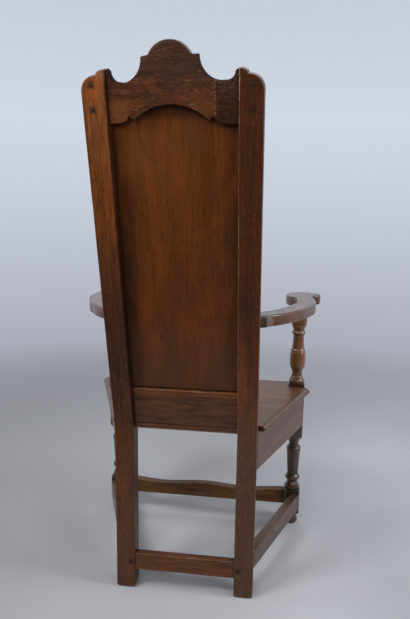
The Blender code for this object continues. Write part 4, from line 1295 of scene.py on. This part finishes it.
def arm_outline():
    """The arm from above on the +X side: across, and back from the stile's front face.

    The second value is the share of the easing at each point.
    """
    start = np.array([STILE_CENTRE, -ARM_REAR])
    post = np.array([POST_X, POST_REACH])
    along = post - start
    out = np.array([along[1], -along[0]]) / np.linalg.norm(along)
    neck = (STILE_CENTRE - ARM_NECK_WIDTH / 2, STILE_CENTRE + ARM_NECK_WIDTH / 2)
    reach = start[1] + ARM_NECK_REACH
    rear = start[1] - ARM_TAIL
    inner_bow, outer_bow = (
        start + np.outer(bow[:, 0], along) + np.outer(bow[:, 1], out)
        for bow in (np.array(ARM_INNER_BOW), np.array(ARM_OUTER_BOW))
    )
    knots = [[[neck[0], reach]], inner_bow, post + np.array(ARM_HEAD), outer_bow]
    edge = smooth(np.concatenate(knots), ARM_EDGE_STEPS)
    cove = (neck[1] + ARM_COVE[0], reach + ARM_COVE[1])
    corners = [edge[-1], cove, (neck[1], reach), (neck[1], rear), (neck[0], rear), (neck[0], reach)]
    full = np.concatenate([edge[:-1], densify(corners, ARM_SPACING, closed=False)])
    full[:, 1] = start[1] - full[:, 1]
    hold = np.where(full[:, 1] > -ARM_TAIL_EASED, ARM_TAIL_HOLD, 1.0)
    return full, hold


def arm_surface(side, easing):
    """A shaped board that falls to the front, cut to the stile's raked front face."""
    outline, hold = arm_outline()
    profile = edge_profile((easing,) * 2, (easing * ARM_UNDER_EASING,) * 2, ARM_THICKNESS)
    across, back, deep, wear = plate(outline, profile, hold, SEEDS["arm_edge"] + side)
    y = ARM_REAR + back * math.cos(ARM_SLOPE) + deep * math.sin(ARM_SLOPE)
    z = ARM_HEIGHT + back * math.sin(ARM_SLOPE) - deep * math.cos(ARM_SLOPE)
    face = (z - BEND_HEIGHT) * math.tan(RAKE) - (STILE_DEPTH + CLEARANCE) / math.cos(RAKE)
    outer = (across > ARM_COVE_DIRT_AND_SHADE[0]) & (deep > 0)
    in_cove = (across < ARM_LIP[0]) & (back > -ARM_COVE_DIRT_AND_SHADE[1])
    on_lip = (across >= ARM_LIP[0]) & (across < ARM_LIP[1]) & (back > -ARM_LIP[2])
    # Dirt and painted shade in the cove, and a painted highlight on the lip
    wear = np.where(outer & in_cove, -1.0, wear)
    wear = np.where(outer & on_lip, ARM_LIP_HIGHLIGHT, wear)
    rings = upright(side * across, np.minimum(y, face), z)
    return rings, np.stack([across, deep, back], axis=-1), wear


def seat_outline():
    """The seat from above, notched round the stiles and the posts, and where its edge is moulded."""
    lean = math.tan(SPLAY)
    out = SEAT_SIDE_OVERHANG / math.cos(SPLAY)
    stile_front = STILE_DEPTH + CLEARANCE
    post_rear = POST_REAR - CLEARANCE
    corner = HALF_BACK + (post_rear - STILE_DEPTH) * lean + out
    end = HALF_BACK + out - SEAT_END_ROUND * math.tan(math.pi / 4 - SPLAY / 2)
    end_centre = (end, -stile_front - SEAT_END_ROUND)
    cut = SEAT_CORNER_CUT
    half = np.array(
        [
            (HALF_INNER - CLEARANCE, -SEAT_REAR_INSET),
            (HALF_INNER - CLEARANCE, -stile_front),
            *arc(end_centre, (SEAT_END_ROUND,) * 2, 90, math.degrees(SPLAY), 8),
            (corner - cut * math.sin(SPLAY), -post_rear + cut * math.cos(SPLAY)),
            (corner - cut, -post_rear),
            (POST_INNER - CLEARANCE, -post_rear),
            (POST_INNER - CLEARANCE, -POST_FRONT - SEAT_FRONT_OVERHANG),
        ]
    )
    outline = densify(mirrored(half), SEAT_SPACING)
    across = np.abs(outline[:, 0])
    edge = HALF_BACK + (-outline[:, 1] - STILE_DEPTH) * lean + out
    at_side = (np.abs(across - edge) < cut + NEAR) & (outline[:, 1] < -stile_front - NEAR)
    at_front = outline[:, 1] < -POST_FRONT - SEAT_FRONT_OVERHANG + SEAT_FRONT_MARGIN
    return outline, np.where(at_side | at_front, 1.0, SEAT_PLAIN_HOLD)


def peg_surface(head, direction, length, seed):
    """A whittled peg: eight uneven facets round its axis, drawn in to a low dome at its head."""
    direction = np.array(direction, float)
    helper = np.array([0.0, 0.0, 1.0])
    first = np.cross(direction, helper)
    first /= np.linalg.norm(first)
    second = np.cross(direction, first)
    angle = np.arange(PEG_POINTS) * 2 * math.pi / PEG_POINTS
    half_facet = math.pi / PEG_FACETS
    facets = math.cos(half_facet) / np.cos((angle + 0.3 * seed) % (2 * half_facet) - half_facet)
    girth = PEG_RADIUS * facets * (1 + PEG_UNEVENNESS * np.sin(3 * angle + seed))
    depth = np.array([*PEG_DEPTHS, length + PEG_PROUD])
    share = np.array(PEG_SHARES)
    tilt = PEG_TILT * np.cos(angle + seed)[None, :] * (share < PEG_TILTED_BELOW)[:, None]
    u = share[:, None] * girth * np.cos(angle)
    v = share[:, None] * girth * np.sin(angle)
    deep = depth[:, None] + tilt + PEG_SINK
    rings = np.array(head) + deep[..., None] * direction + u[..., None] * first + v[..., None] * second
    wear = np.broadcast_to(np.array(PEG_WEAR)[:, None], u.shape)
    return rings, np.stack([u, v, deep * 0.2], axis=-1), wear


# Operators


class PieceOperator:
    """What the operators of the pieces share."""

    bl_options = {"REGISTER", "UNDO"}

    @staticmethod
    def settings(context):
        """The sizes and the colours that the scene holds."""
        return context.scene.armchair_sizes, context.scene.armchair_colours


class ARMCHAIR_OT_stiles(PieceOperator, bpy.types.Operator):
    """Build both rear stiles, each a leg and a raked stile in one piece"""

    bl_idname = "armchair.stiles"
    bl_label = "Rear stiles"

    def execute(self, context):
        sizes, colours = self.settings(context)
        tones = {"left": colours.left_stile, "right": colours.right_stile}
        for label, side in SIDES.items():
            seed = SEEDS["stile"] + side
            lines, draw_in, stretch = stile_lines(side)
            rings, board, wear = bar(lines, sizes.easing, draw_in, seed, stretch, STILE_RUB_AND_PAINTED_LIGHT[label])
            wear = np.maximum(wear, SOLE_WEAR * np.exp(-rings[..., 2] / SOLE_WEAR_FADE))
            finish = {**FINISHES["stile"], "lifts": STILE_LIFTS[label]}
            wood = waxed_wood(f"waxed_stile_{label}", tones[label], **finish)
            mark_wood(wood, {**STILE_MARKS[label], **peg_dirt_and_shade(side)}, MARK_SCALES["stile"])
            skin(f"stile_{label}", rings, board, wear, wood, "stile_wood", f"rear_stile_{label}", seed)
        return {"FINISHED"}


class ARMCHAIR_OT_crest(PieceOperator, bpy.types.Operator):
    """Build the shaped crest rail between the stiles"""

    bl_idname = "armchair.crest"
    bl_label = "Crest rail"

    def execute(self, context):
        sizes, colours = self.settings(context)
        outline, hold = crest_outline()
        ease = sizes.crest_easing
        profile = edge_profile((ease,) * 2, (ease * CREST_FRONT_EASING,) * 2, CREST_THICKNESS)
        across, rise, deep, wear = plate(outline, profile, hold, SEEDS["crest"])
        # The dome's edge is rubbed, and the other edges hold grime and painted shade
        grime_and_shade = -np.clip(deep / ease + GRIME_AND_SHADE_RIM, 0, 1) * (deep < CREST_THICKNESS - GRIME_AND_SHADE_END * ease)
        wear = np.where(rise > LEDGE_RISE, DOME_WEAR * wear, np.where(deep > 0, grime_and_shade, 0.0))
        rings = raked(across, rise, CREST_RECESS + deep)
        board = np.stack([rise, deep, across], axis=-1)
        wood = waxed_wood("waxed_crest", colours.crest, **FINISHES["crest"])
        mark_wood(wood, CREST_MARKS, MARK_SCALES["crest"])
        scribe_crest(wood)
        skin("crest", rings, board, wear, wood, "crest_wood", "crest_rail", SEEDS["crest"])
        return {"FINISHED"}


class ARMCHAIR_OT_panel(PieceOperator, bpy.types.Operator):
    """Build the floating back panel"""

    bl_idname = "armchair.panel"
    bl_label = "Back panel"

    def execute(self, context):
        _, colours = self.settings(context)
        wide = HALF_INNER + GROOVE_DEPTH - CLEARANCE
        narrow = HALF_INNER - GROOVE_DEPTH
        bottom = BACK_RAIL_TOP - GROOVE_DEPTH + CLEARANCE
        shoulder = NOTCH_RISE - LOBE_DROP - LOWER_EDGE_DROP - CLEARANCE
        top = ARCH_CROWN + PANEL_COVER
        half = np.array([(wide, bottom), (wide, shoulder), (narrow, shoulder), (narrow, top)])
        outline = densify(mirrored(half), PANEL_SPACING)
        profile = edge_profile((PANEL_EASING,) * 2, (PANEL_EASING,) * 2, PANEL_THICKNESS)
        across, rise, deep, wear = plate(outline, profile, 1.0, SEEDS["panel"])
        rings = raked(across, rise, PANEL_RECESS + deep)
        board = np.stack([across, deep, rise], axis=-1)
        wood = waxed_wood("waxed_panel", colours.panel, **FINISHES["panel"])
        mark_wood(wood, PANEL_MARKS, MARK_SCALES["panel"])
        skin("panel", rings, board, wear * PANEL_WEAR, wood, "panel_wood", "back_panel", SEEDS["panel"])
        return {"FINISHED"}


class ARMCHAIR_OT_rails(PieceOperator, bpy.types.Operator):
    """Build the lower back rail, the aprons and the stretchers"""

    bl_idname = "armchair.rails"
    bl_label = "Rails and stretchers"

    def execute(self, context):
        sizes, colours = self.settings(context)
        rail_wood = waxed_wood("waxed_rails", colours.rails, **FINISHES["rail"])
        front_finish = FINISHES["front stretcher"]
        front_wood = waxed_wood("waxed_front_stretcher", colours.front_stretcher, **front_finish)
        apron_wood = waxed_wood("waxed_aprons", colours.aprons, **FINISHES["apron"])
        for name, lines, wood, slot, seed in self.rails(rail_wood, front_wood, apron_wood):
            rub = BACK_RAIL_RUB if name == "lower_back_rail" else RAIL_RUB
            rings, board, wear = bar(lines, sizes.easing, 0.0, seed, rub=rub)
            along = board[..., 2]
            joint = np.exp(-np.minimum(along, along.max() - along) / JOINT_DIRT_FADE)
            wear = wear * (1 - joint) - JOINT_DIRT * joint
            skin(f"{name}_rail", rings, board, wear, wood, slot, name, seed)
        return {"FINISHED"}

    @staticmethod
    def rails(rail_wood, front_wood, apron_wood):
        """Every rail's node, corner lines, wood, slot and seed."""
        between_stiles = HALF_INNER - CLEARANCE
        between_posts = POST_INNER - CLEARANCE
        x = between_stiles * RAIL_STEPS
        foot = SEAT_HEIGHT + CLEARANCE
        lines = []
        for depth, at_top in (
            (BACK_RAIL_RECESS, False),
            (BACK_RAIL_RECESS + BACK_RAIL_THICKNESS, False),
            (BACK_RAIL_RECESS + BACK_RAIL_THICKNESS, True),
            (BACK_RAIL_RECESS, True),
        ):
            y_foot = (foot - BEND_HEIGHT) * math.tan(RAKE) - depth / math.cos(RAKE)
            lines.append(raked(x, BACK_RAIL_TOP, depth) if at_top else upright(x, y_foot, foot))
        yield "lower_back_rail", lines, rail_wood, "stile_wood", SEEDS["lower_back_rail"]
        bottom, height, thick = REAR_STRETCHER
        back = -REAR_STRETCHER_RECESS
        lines = cross_rail_lines(between_stiles, back, back - thick, bottom, bottom + height)
        yield "rear_stretcher", lines, rail_wood, "stile_wood", SEEDS["rear_stretcher"]
        bottom, height, thick = FRONT_STRETCHER
        wave = 1 - np.cos(math.pi * FRONT_STRETCHER_DIPS * (RAIL_STEPS + 1))
        top = bottom + height - FRONT_STRETCHER_WAVE * wave
        back = -POST_REACH + thick / 2
        lines = cross_rail_lines(between_posts, back, -POST_REACH - thick / 2, bottom, top)
        yield "front_stretcher", lines, front_wood, "stile_wood", SEEDS["front_stretcher"]
        front = -POST_FRONT + FRONT_APRON_SETBACK
        lines = cross_rail_lines(between_posts, front + APRON_THICKNESS, front, APRON_BOTTOM, RAIL_TOP)
        yield "front_apron", lines, apron_wood, "stile_wood", SEEDS["front_apron"]
        for label, side in SIDES.items():
            bottom, height, thick = SIDE_STRETCHER
            lines = side_rail_lines(side, thick, bottom, bottom + height)
            seed = SEEDS["side_stretcher"] + side
            yield f"side_stretcher_{label}", lines, apron_wood, "seat_wood", seed
            lines = side_rail_lines(side, APRON_THICKNESS, APRON_BOTTOM, RAIL_TOP)
            seed = SEEDS["side_apron"] + side
            yield f"side_apron_{label}", lines, apron_wood, "seat_wood", seed


class ARMCHAIR_OT_seat(PieceOperator, bpy.types.Operator):
    """Build the seat board with its thumb-moulded edge"""

    bl_idname = "armchair.seat"
    bl_label = "Seat board"

    def execute(self, context):
        sizes, colours = self.settings(context)
        outline, hold = seat_outline()
        moulding = (sizes.seat_moulding, SEAT_MOULDING_DEPTH)
        under = (SEAT_UNDER_EASING,) * 2
        profile = edge_profile(moulding, under, SEAT_THICKNESS, SEAT_MOULDING_STEPS)
        across, back, deep, wear = plate(outline, profile, hold, SEEDS["seat"])
        # The moulding is dusty with a painted sheen, and dirt lies along its inner line and on the ends
        # at the stiles
        wear = wear * SEAT_DUST_AND_SHEEN_WEAR
        wear[1] *= SEAT_LINE_DIRT
        at_stile = (np.abs(across) > HALF_BACK) & (back > -STILE_DEPTH - SEAT_END_DIRT)
        wear = np.where(at_stile & (deep > SEAT_END_DIRT_DEPTH), -1.0, wear)
        rings = upright(across, back, SEAT_HEIGHT - deep)
        board = np.stack([back, deep, across], axis=-1)
        wood = waxed_wood("waxed_seat", colours.seat, **FINISHES["seat"])
        skin("seat", rings, board, wear, wood, "seat_wood", "seat_board", SEEDS["seat"])
        return {"FINISHED"}


class ARMCHAIR_OT_posts(PieceOperator, bpy.types.Operator):
    """Build both turned front posts"""

    bl_idname = "armchair.posts"
    bl_label = "Front posts"

    def execute(self, context):
        _, colours = self.settings(context)
        wood = waxed_wood("waxed_posts", colours.posts, **FINISHES["post"])
        mark_wood(wood, POST_MARKS, MARK_SCALES["post"])
        for label, side in SIDES.items():
            seed = SEEDS["post"] + side
            rings, board, wear = post_surface(side * POST_X, ARM_SEAT)
            skin(f"post_{label}", rings, board, wear, wood, "stile_wood", f"front_post_{label}", seed)
        return {"FINISHED"}


class ARMCHAIR_OT_arms(PieceOperator, bpy.types.Operator):
    """Build both bowed arms with their scrolled ends"""

    bl_idname = "armchair.arms"
    bl_label = "Arms"

    def execute(self, context):
        sizes, colours = self.settings(context)
        wood = waxed_wood("waxed_arms", colours.arms, **FINISHES["arm"])
        for label, side in SIDES.items():
            seed = SEEDS["arm"] + side
            rings, board, wear = arm_surface(side, sizes.arm_easing)
            skin(f"arm_{label}_board", rings, board, wear, wood, "seat_wood", f"arm_{label}", seed)
        return {"FINISHED"}


class ARMCHAIR_OT_pegs(PieceOperator, bpy.types.Operator):
    """Build the whittled pegs that pin the tenons"""

    bl_idname = "armchair.pegs"
    bl_label = "Pegs"

    def execute(self, context):
        _, colours = self.settings(context)
        wood = waxed_wood("peg_end_grain", colours.pegs, **FINISHES["peg"])
        into_back = (0.0, -math.cos(RAKE), math.sin(RAKE))
        into_leg = (0.0, -1.0, 0.0)
        places = []
        for label, side in SIDES.items():
            for place, drop in (("upper", 0.0), ("lower", CREST_PEG_PITCH)):
                head = raked(side * CREST_PEG_X, CREST_PEG_RISE - drop, -PEG_PROUD)
                places.append((f"crest_peg_{label}_{place}", head, into_back, PEG_LENGTH))
            height = REAR_STRETCHER[0] + REAR_STRETCHER[1] / 2
            head = upright(side * STRETCHER_PEG_X, PEG_PROUD, height)
            places.append((f"rear_stretcher_peg_{label}", head, into_leg, PEG_LENGTH))
            height = SIDE_STRETCHER[0] + SIDE_PEG_RISE
            head = upright(side * (HALF_BACK + PEG_PROUD), SIDE_PEG_Y, height)
            places.append((f"side_stretcher_peg_{label}", head, (-side, 0.0, 0.0), SIDE_PEG_LENGTH))
        for seed, (node, head, direction, length) in enumerate(places):
            rings, board, wear = peg_surface(head, direction, length, seed)
            skin(f"{node}_whittled", rings, board, wear, wood, "peg_wood", node, SEEDS["peg"] + seed)
        return {"FINISHED"}


class ARMCHAIR_OT_stage(PieceOperator, bpy.types.Operator):
    """Set the pale floor, the soft studio light and the camera"""

    bl_idname = "armchair.stage"
    bl_label = "Stage"

    def execute(self, context):
        _, colours = self.settings(context)
        make_floor(colours.floor)
        make_world(context.scene)
        make_lights()
        make_camera(context.scene)
        context.scene.view_settings.view_transform = "Standard"
        return {"FINISHED"}


# The floor: radius, rings and spokes, finish, and tones of its mottling
FLOOR_RADIUS = 3.2
FLOOR_RINGS = 32
FLOOR_SPOKES = 64
FLOOR_ROUGHNESS = 0.8
FLOOR_SHINE = 0.2
FLOOR_MOTTLE = ((2.0, 2.0, 2.0), 3.0)
FLOOR_MOTTLE_RANGE = (0.3, 0.7, 0.0, 1.0)
FLOOR_TONES = (0.97, 1.03)

# Broad gradients of the floor, painted light and painted shade laid into its colour: from and to a
# place, and the factor or share at each. The floor gets darker towards either side, but not far in
# front, and clears into the backdrop far from its middle
FLOOR_GRADIENTS = {"X": (-1.2, 1.0, 1.22, 0.80), "Y": (-0.80, 0.80, 1.12, 0.82)}
FLOOR_DARK_RIGHT = (-0.55, -0.33, 0.20, 0.0)
FLOOR_DARK_LEFT = (0.30, 0.45, 0.0, 0.09)
FLOOR_DARK_BEHIND = (-0.4, 0.0, 0.0, 1.0)
FLOOR_FADE = (0.9, 2.6, 0.0, 1.0)


def make_floor(colour):
    """A round floor whose points are a distance and a bearing, fading out into the backdrop."""
    distance = np.linspace(0.0, FLOOR_RADIUS, FLOOR_RINGS + 1)[1:, None]
    bearing = np.linspace(0, 2 * math.pi, FLOOR_SPOKES + 1)[None, :-1]
    x = distance * np.cos(bearing)
    y = distance * np.sin(bearing)
    points = np.concatenate([[[0.0, 0.0, 0.0]], np.stack([x, y, 0 * x], axis=-1).reshape(-1, 3)])
    index = np.arange(x.size).reshape(x.shape) + 1
    around = np.roll(index, -1, axis=1)
    quads = np.stack([index[:-1], index[1:], around[1:], around[:-1]], axis=-1).reshape(-1, 4)
    fan = np.stack([0 * index[0], index[0], around[0]], axis=1)
    mesh = bpy.data.meshes.new("studio_floor")
    mesh.from_pydata(points.tolist(), [], quads.tolist() + fan.tolist())
    floor = bpy.data.objects.new("studio_floor", mesh)
    bpy.context.scene.collection.objects.link(floor)
    material = bpy.data.materials.new("pale_floor")
    material.use_nodes = True
    tree = material.node_tree
    shader = tree.nodes["Principled BSDF"]
    shader.inputs["Roughness"].default_value = FLOOR_ROUGHNESS
    shader.inputs["Specular IOR Level"].default_value = FLOOR_SHINE
    place, parts = coordinates(tree)
    mottle = spread(tree, grain_noise(tree, place, *FLOOR_MOTTLE), *FLOOR_MOTTLE_RANGE)
    tinted = blend_colour(tree, mottle, *(toned(colour, tone) for tone in FLOOR_TONES))
    # Painted light and shade: broad gradients and darker patches in the floor's colour
    for axis, limits in FLOOR_GRADIENTS.items():
        tinted = blend_colour(tree, 1.0, tinted, spread(tree, parts[axis], *limits), "MULTIPLY")
    right = spread(tree, parts["X"], *FLOOR_DARK_RIGHT)
    left = spread(tree, parts["X"], *FLOOR_DARK_LEFT)
    behind = spread(tree, parts["Y"], *FLOOR_DARK_BEHIND)
    dark = combine(tree, "MULTIPLY", combine(tree, "ADD", right, left), behind)
    tinted = blend_colour(tree, dark, tinted, (0.0, 0.0, 0.0))
    tree.links.new(tinted, shader.inputs["Base Color"])
    length = add_node(tree, "ShaderNodeVectorMath", operation="LENGTH")
    tree.links.new(place, length.inputs[0])
    fade = spread(tree, length.outputs["Value"], *FLOOR_FADE)
    clear = add_node(tree, "ShaderNodeBsdfTransparent")
    mix_surface(tree, fade, shader, clear, "Material Output")
    mesh.materials.append(material)
    floor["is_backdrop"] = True


# Backdrop colours by the height of the line of sight, from straight down to straight up
BACKDROP = (
    (-0.50, (0.330, 0.345, 0.378)),
    (-0.34, (0.318, 0.332, 0.365)),
    (-0.19, (0.440, 0.462, 0.530)),
    (-0.01, (0.575, 0.620, 0.708)),
    (0.11, (0.634, 0.690, 0.772)),
    (0.27, (0.565, 0.624, 0.694)),
    (0.90, (0.600, 0.640, 0.700)),
)
AMBIENT_COLOUR = (1.0, 0.98, 0.96)
AMBIENT_STRENGTH = 0.10

# Reflections see the backdrop only on its own side: from and to y of the line of sight, and how
# much of the backdrop is missing at each
UNLIT_STUDIO = (-0.25, 0.30, 0.0, 0.90)


def make_world(scene):
    """Even soft light, with a pale graded backdrop for what the camera and reflections see."""
    world = bpy.data.worlds.new("studio_world")
    scene.world = world
    world.use_nodes = True
    tree = world.node_tree
    ambient = tree.nodes["Background"]
    ambient.inputs["Color"].default_value = (*AMBIENT_COLOUR, 1.0)
    ambient.inputs["Strength"].default_value = AMBIENT_STRENGTH
    _, parts = coordinates(tree, "Generated")
    ramp = add_node(tree, "ShaderNodeValToRGB")
    stops = ramp.color_ramp.elements
    while len(stops) < len(BACKDROP):
        stops.new(0.5)
    for stop, (height, colour) in zip(stops, BACKDROP):
        stop.position = (height + 1) / 2
        stop.color = (*colour, 1.0)
    tree.links.new(spread(tree, parts["Z"], -1.0, 1.0, 0.0, 1.0), ramp.inputs[0])
    backdrop = add_node(tree, "ShaderNodeBackground")
    tree.links.new(ramp.outputs[0], backdrop.inputs["Color"])
    path = add_node(tree, "ShaderNodeLightPath")
    unlit = spread(tree, parts["Y"], *UNLIT_STUDIO)
    unlit = combine(tree, "MULTIPLY", unlit, path.outputs["Is Glossy Ray"])
    tree.links.new(combine(tree, "SUBTRACT", 1.0, unlit), backdrop.inputs["Strength"])
    seen = combine(tree, "MAXIMUM", path.outputs["Is Camera Ray"], path.outputs["Is Glossy Ray"])
    seen = combine(tree, "MAXIMUM", seen, path.outputs["Is Transmission Ray"])
    mix_surface(tree, seen, ambient, backdrop, "World Output")


# Softboxes: place, point they face, width, height, power, colour
SOFTBOXES = {
    "key_softbox": ((1.00, 1.10, 1.95), (0.05, 0.30, 1.05), 0.6, 0.6, 22.0, (1.0, 0.98, 0.95)),
    "left_softbox": ((0.55, 2.50, 2.00), (0.0, 0.0, 0.60), 0.85, 0.85, 20.5, (1.0, 1.0, 1.0)),
    "right_softbox": ((-1.60, 2.00, 1.90), (0.0, 0.0, 0.60), 1.0, 1.0, 12.0, (1.0, 1.0, 1.0)),
    "right_side_softbox": ((-2.20, 0.30, 1.60), (0.0, 0.0, 0.60), 0.8, 1.2, 32.0, (1.0, 1.0, 1.0)),
    "left_side_softbox": ((2.20, 0.20, 1.70), (0.0, 0.0, 0.60), 0.8, 1.2, 8.0, (1.0, 1.0, 1.0)),
    "overhead_softbox": ((-0.20, -1.25, 2.50), (0.0, -0.1, 0.30), 1.2, 1.2, 9.0, (1.0, 1.0, 1.0)),
}


def make_lights():
    """Rectangular area lights, each turned to face its point."""
    for name, (place, target, width, height, power, colour) in SOFTBOXES.items():
        lamp = bpy.data.lights.new(name, "AREA")
        lamp.shape = "RECTANGLE"
        lamp.size = width
        lamp.size_y = height
        lamp.energy = power
        lamp.color = colour
        softbox = bpy.data.objects.new(name, lamp)
        softbox.location = place
        facing = Vector(target) - Vector(place)
        softbox.rotation_euler = facing.to_track_quat("-Z", "Y").to_euler()
        bpy.context.scene.collection.objects.link(softbox)


def make_camera(scene):
    """The photograph's camera: turned by the yaw, tilted down by the pitch, then rolled."""
    forward = Vector(
        (
            math.sin(CAMERA_YAW) * math.cos(CAMERA_PITCH),
            -math.cos(CAMERA_YAW) * math.cos(CAMERA_PITCH),
            -math.sin(CAMERA_PITCH),
        )
    )
    level = Vector((-math.cos(CAMERA_YAW), -math.sin(CAMERA_YAW), 0.0))
    above = level.cross(forward)
    right = level * math.cos(CAMERA_ROLL) + above * math.sin(CAMERA_ROLL)
    up = above * math.cos(CAMERA_ROLL) - level * math.sin(CAMERA_ROLL)
    lens = bpy.data.cameras.new("photo_camera")
    lens.sensor_fit = "VERTICAL"
    lens.sensor_height = SENSOR
    lens.lens = FOCAL_PIXELS / IMAGE_HEIGHT * SENSOR
    camera = bpy.data.objects.new("photo_camera", lens)
    turn = Matrix((right, up, -forward)).transposed().to_4x4()
    place = (CAMERA_X, BACK_FACE + CAMERA_BEHIND, CAMERA_HEIGHT)
    camera.matrix_world = Matrix.Translation(place) @ turn
    scene.collection.objects.link(camera)
    scene.camera = camera


class ARMCHAIR_PT_panel(bpy.types.Panel):
    """Lists the chair's settings and the operators that build it"""

    bl_idname = "ARMCHAIR_PT_panel"
    bl_label = "Panel-back armchair"
    bl_space_type = "VIEW_3D"
    bl_region_type = "UI"
    bl_category = "Armchair"

    def draw(self, context):
        for group in (context.scene.armchair_sizes, context.scene.armchair_colours):
            for name in group.__annotations__:
                self.layout.prop(group, name)
        for operator in OPERATORS:
            self.layout.operator(operator.bl_idname)


OPERATORS = (
    ARMCHAIR_OT_stiles,
    ARMCHAIR_OT_crest,
    ARMCHAIR_OT_panel,
    ARMCHAIR_OT_rails,
    ARMCHAIR_OT_seat,
    ARMCHAIR_OT_posts,
    ARMCHAIR_OT_arms,
    ARMCHAIR_OT_pegs,
    ARMCHAIR_OT_stage,
)
CLASSES = (ArmchairSizes, ArmchairColours, *OPERATORS, ARMCHAIR_PT_panel)


def register():
    """Make the settings, the operators and the panel known to Blender."""
    for each in CLASSES:
        bpy.utils.register_class(each)
    bpy.types.Scene.armchair_sizes = PointerProperty(type=ArmchairSizes)
    bpy.types.Scene.armchair_colours = PointerProperty(type=ArmchairColours)


def unregister():
    """Take them away again."""
    del bpy.types.Scene.armchair_colours
    del bpy.types.Scene.armchair_sizes
    for each in reversed(CLASSES):
        bpy.utils.unregister_class(each)


def main():
    """Build every piece and the stage."""
    register()
    for operator in OPERATORS:
        group, name = operator.bl_idname.split(".")
        getattr(getattr(bpy.ops, group), name)()
    boxes = {"cad": CAD_BOX, "visual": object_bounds()}
    {name: [list(corner) for corner in box] for name, box in boxes.items()}


if __name__ == "__main__":
    main()
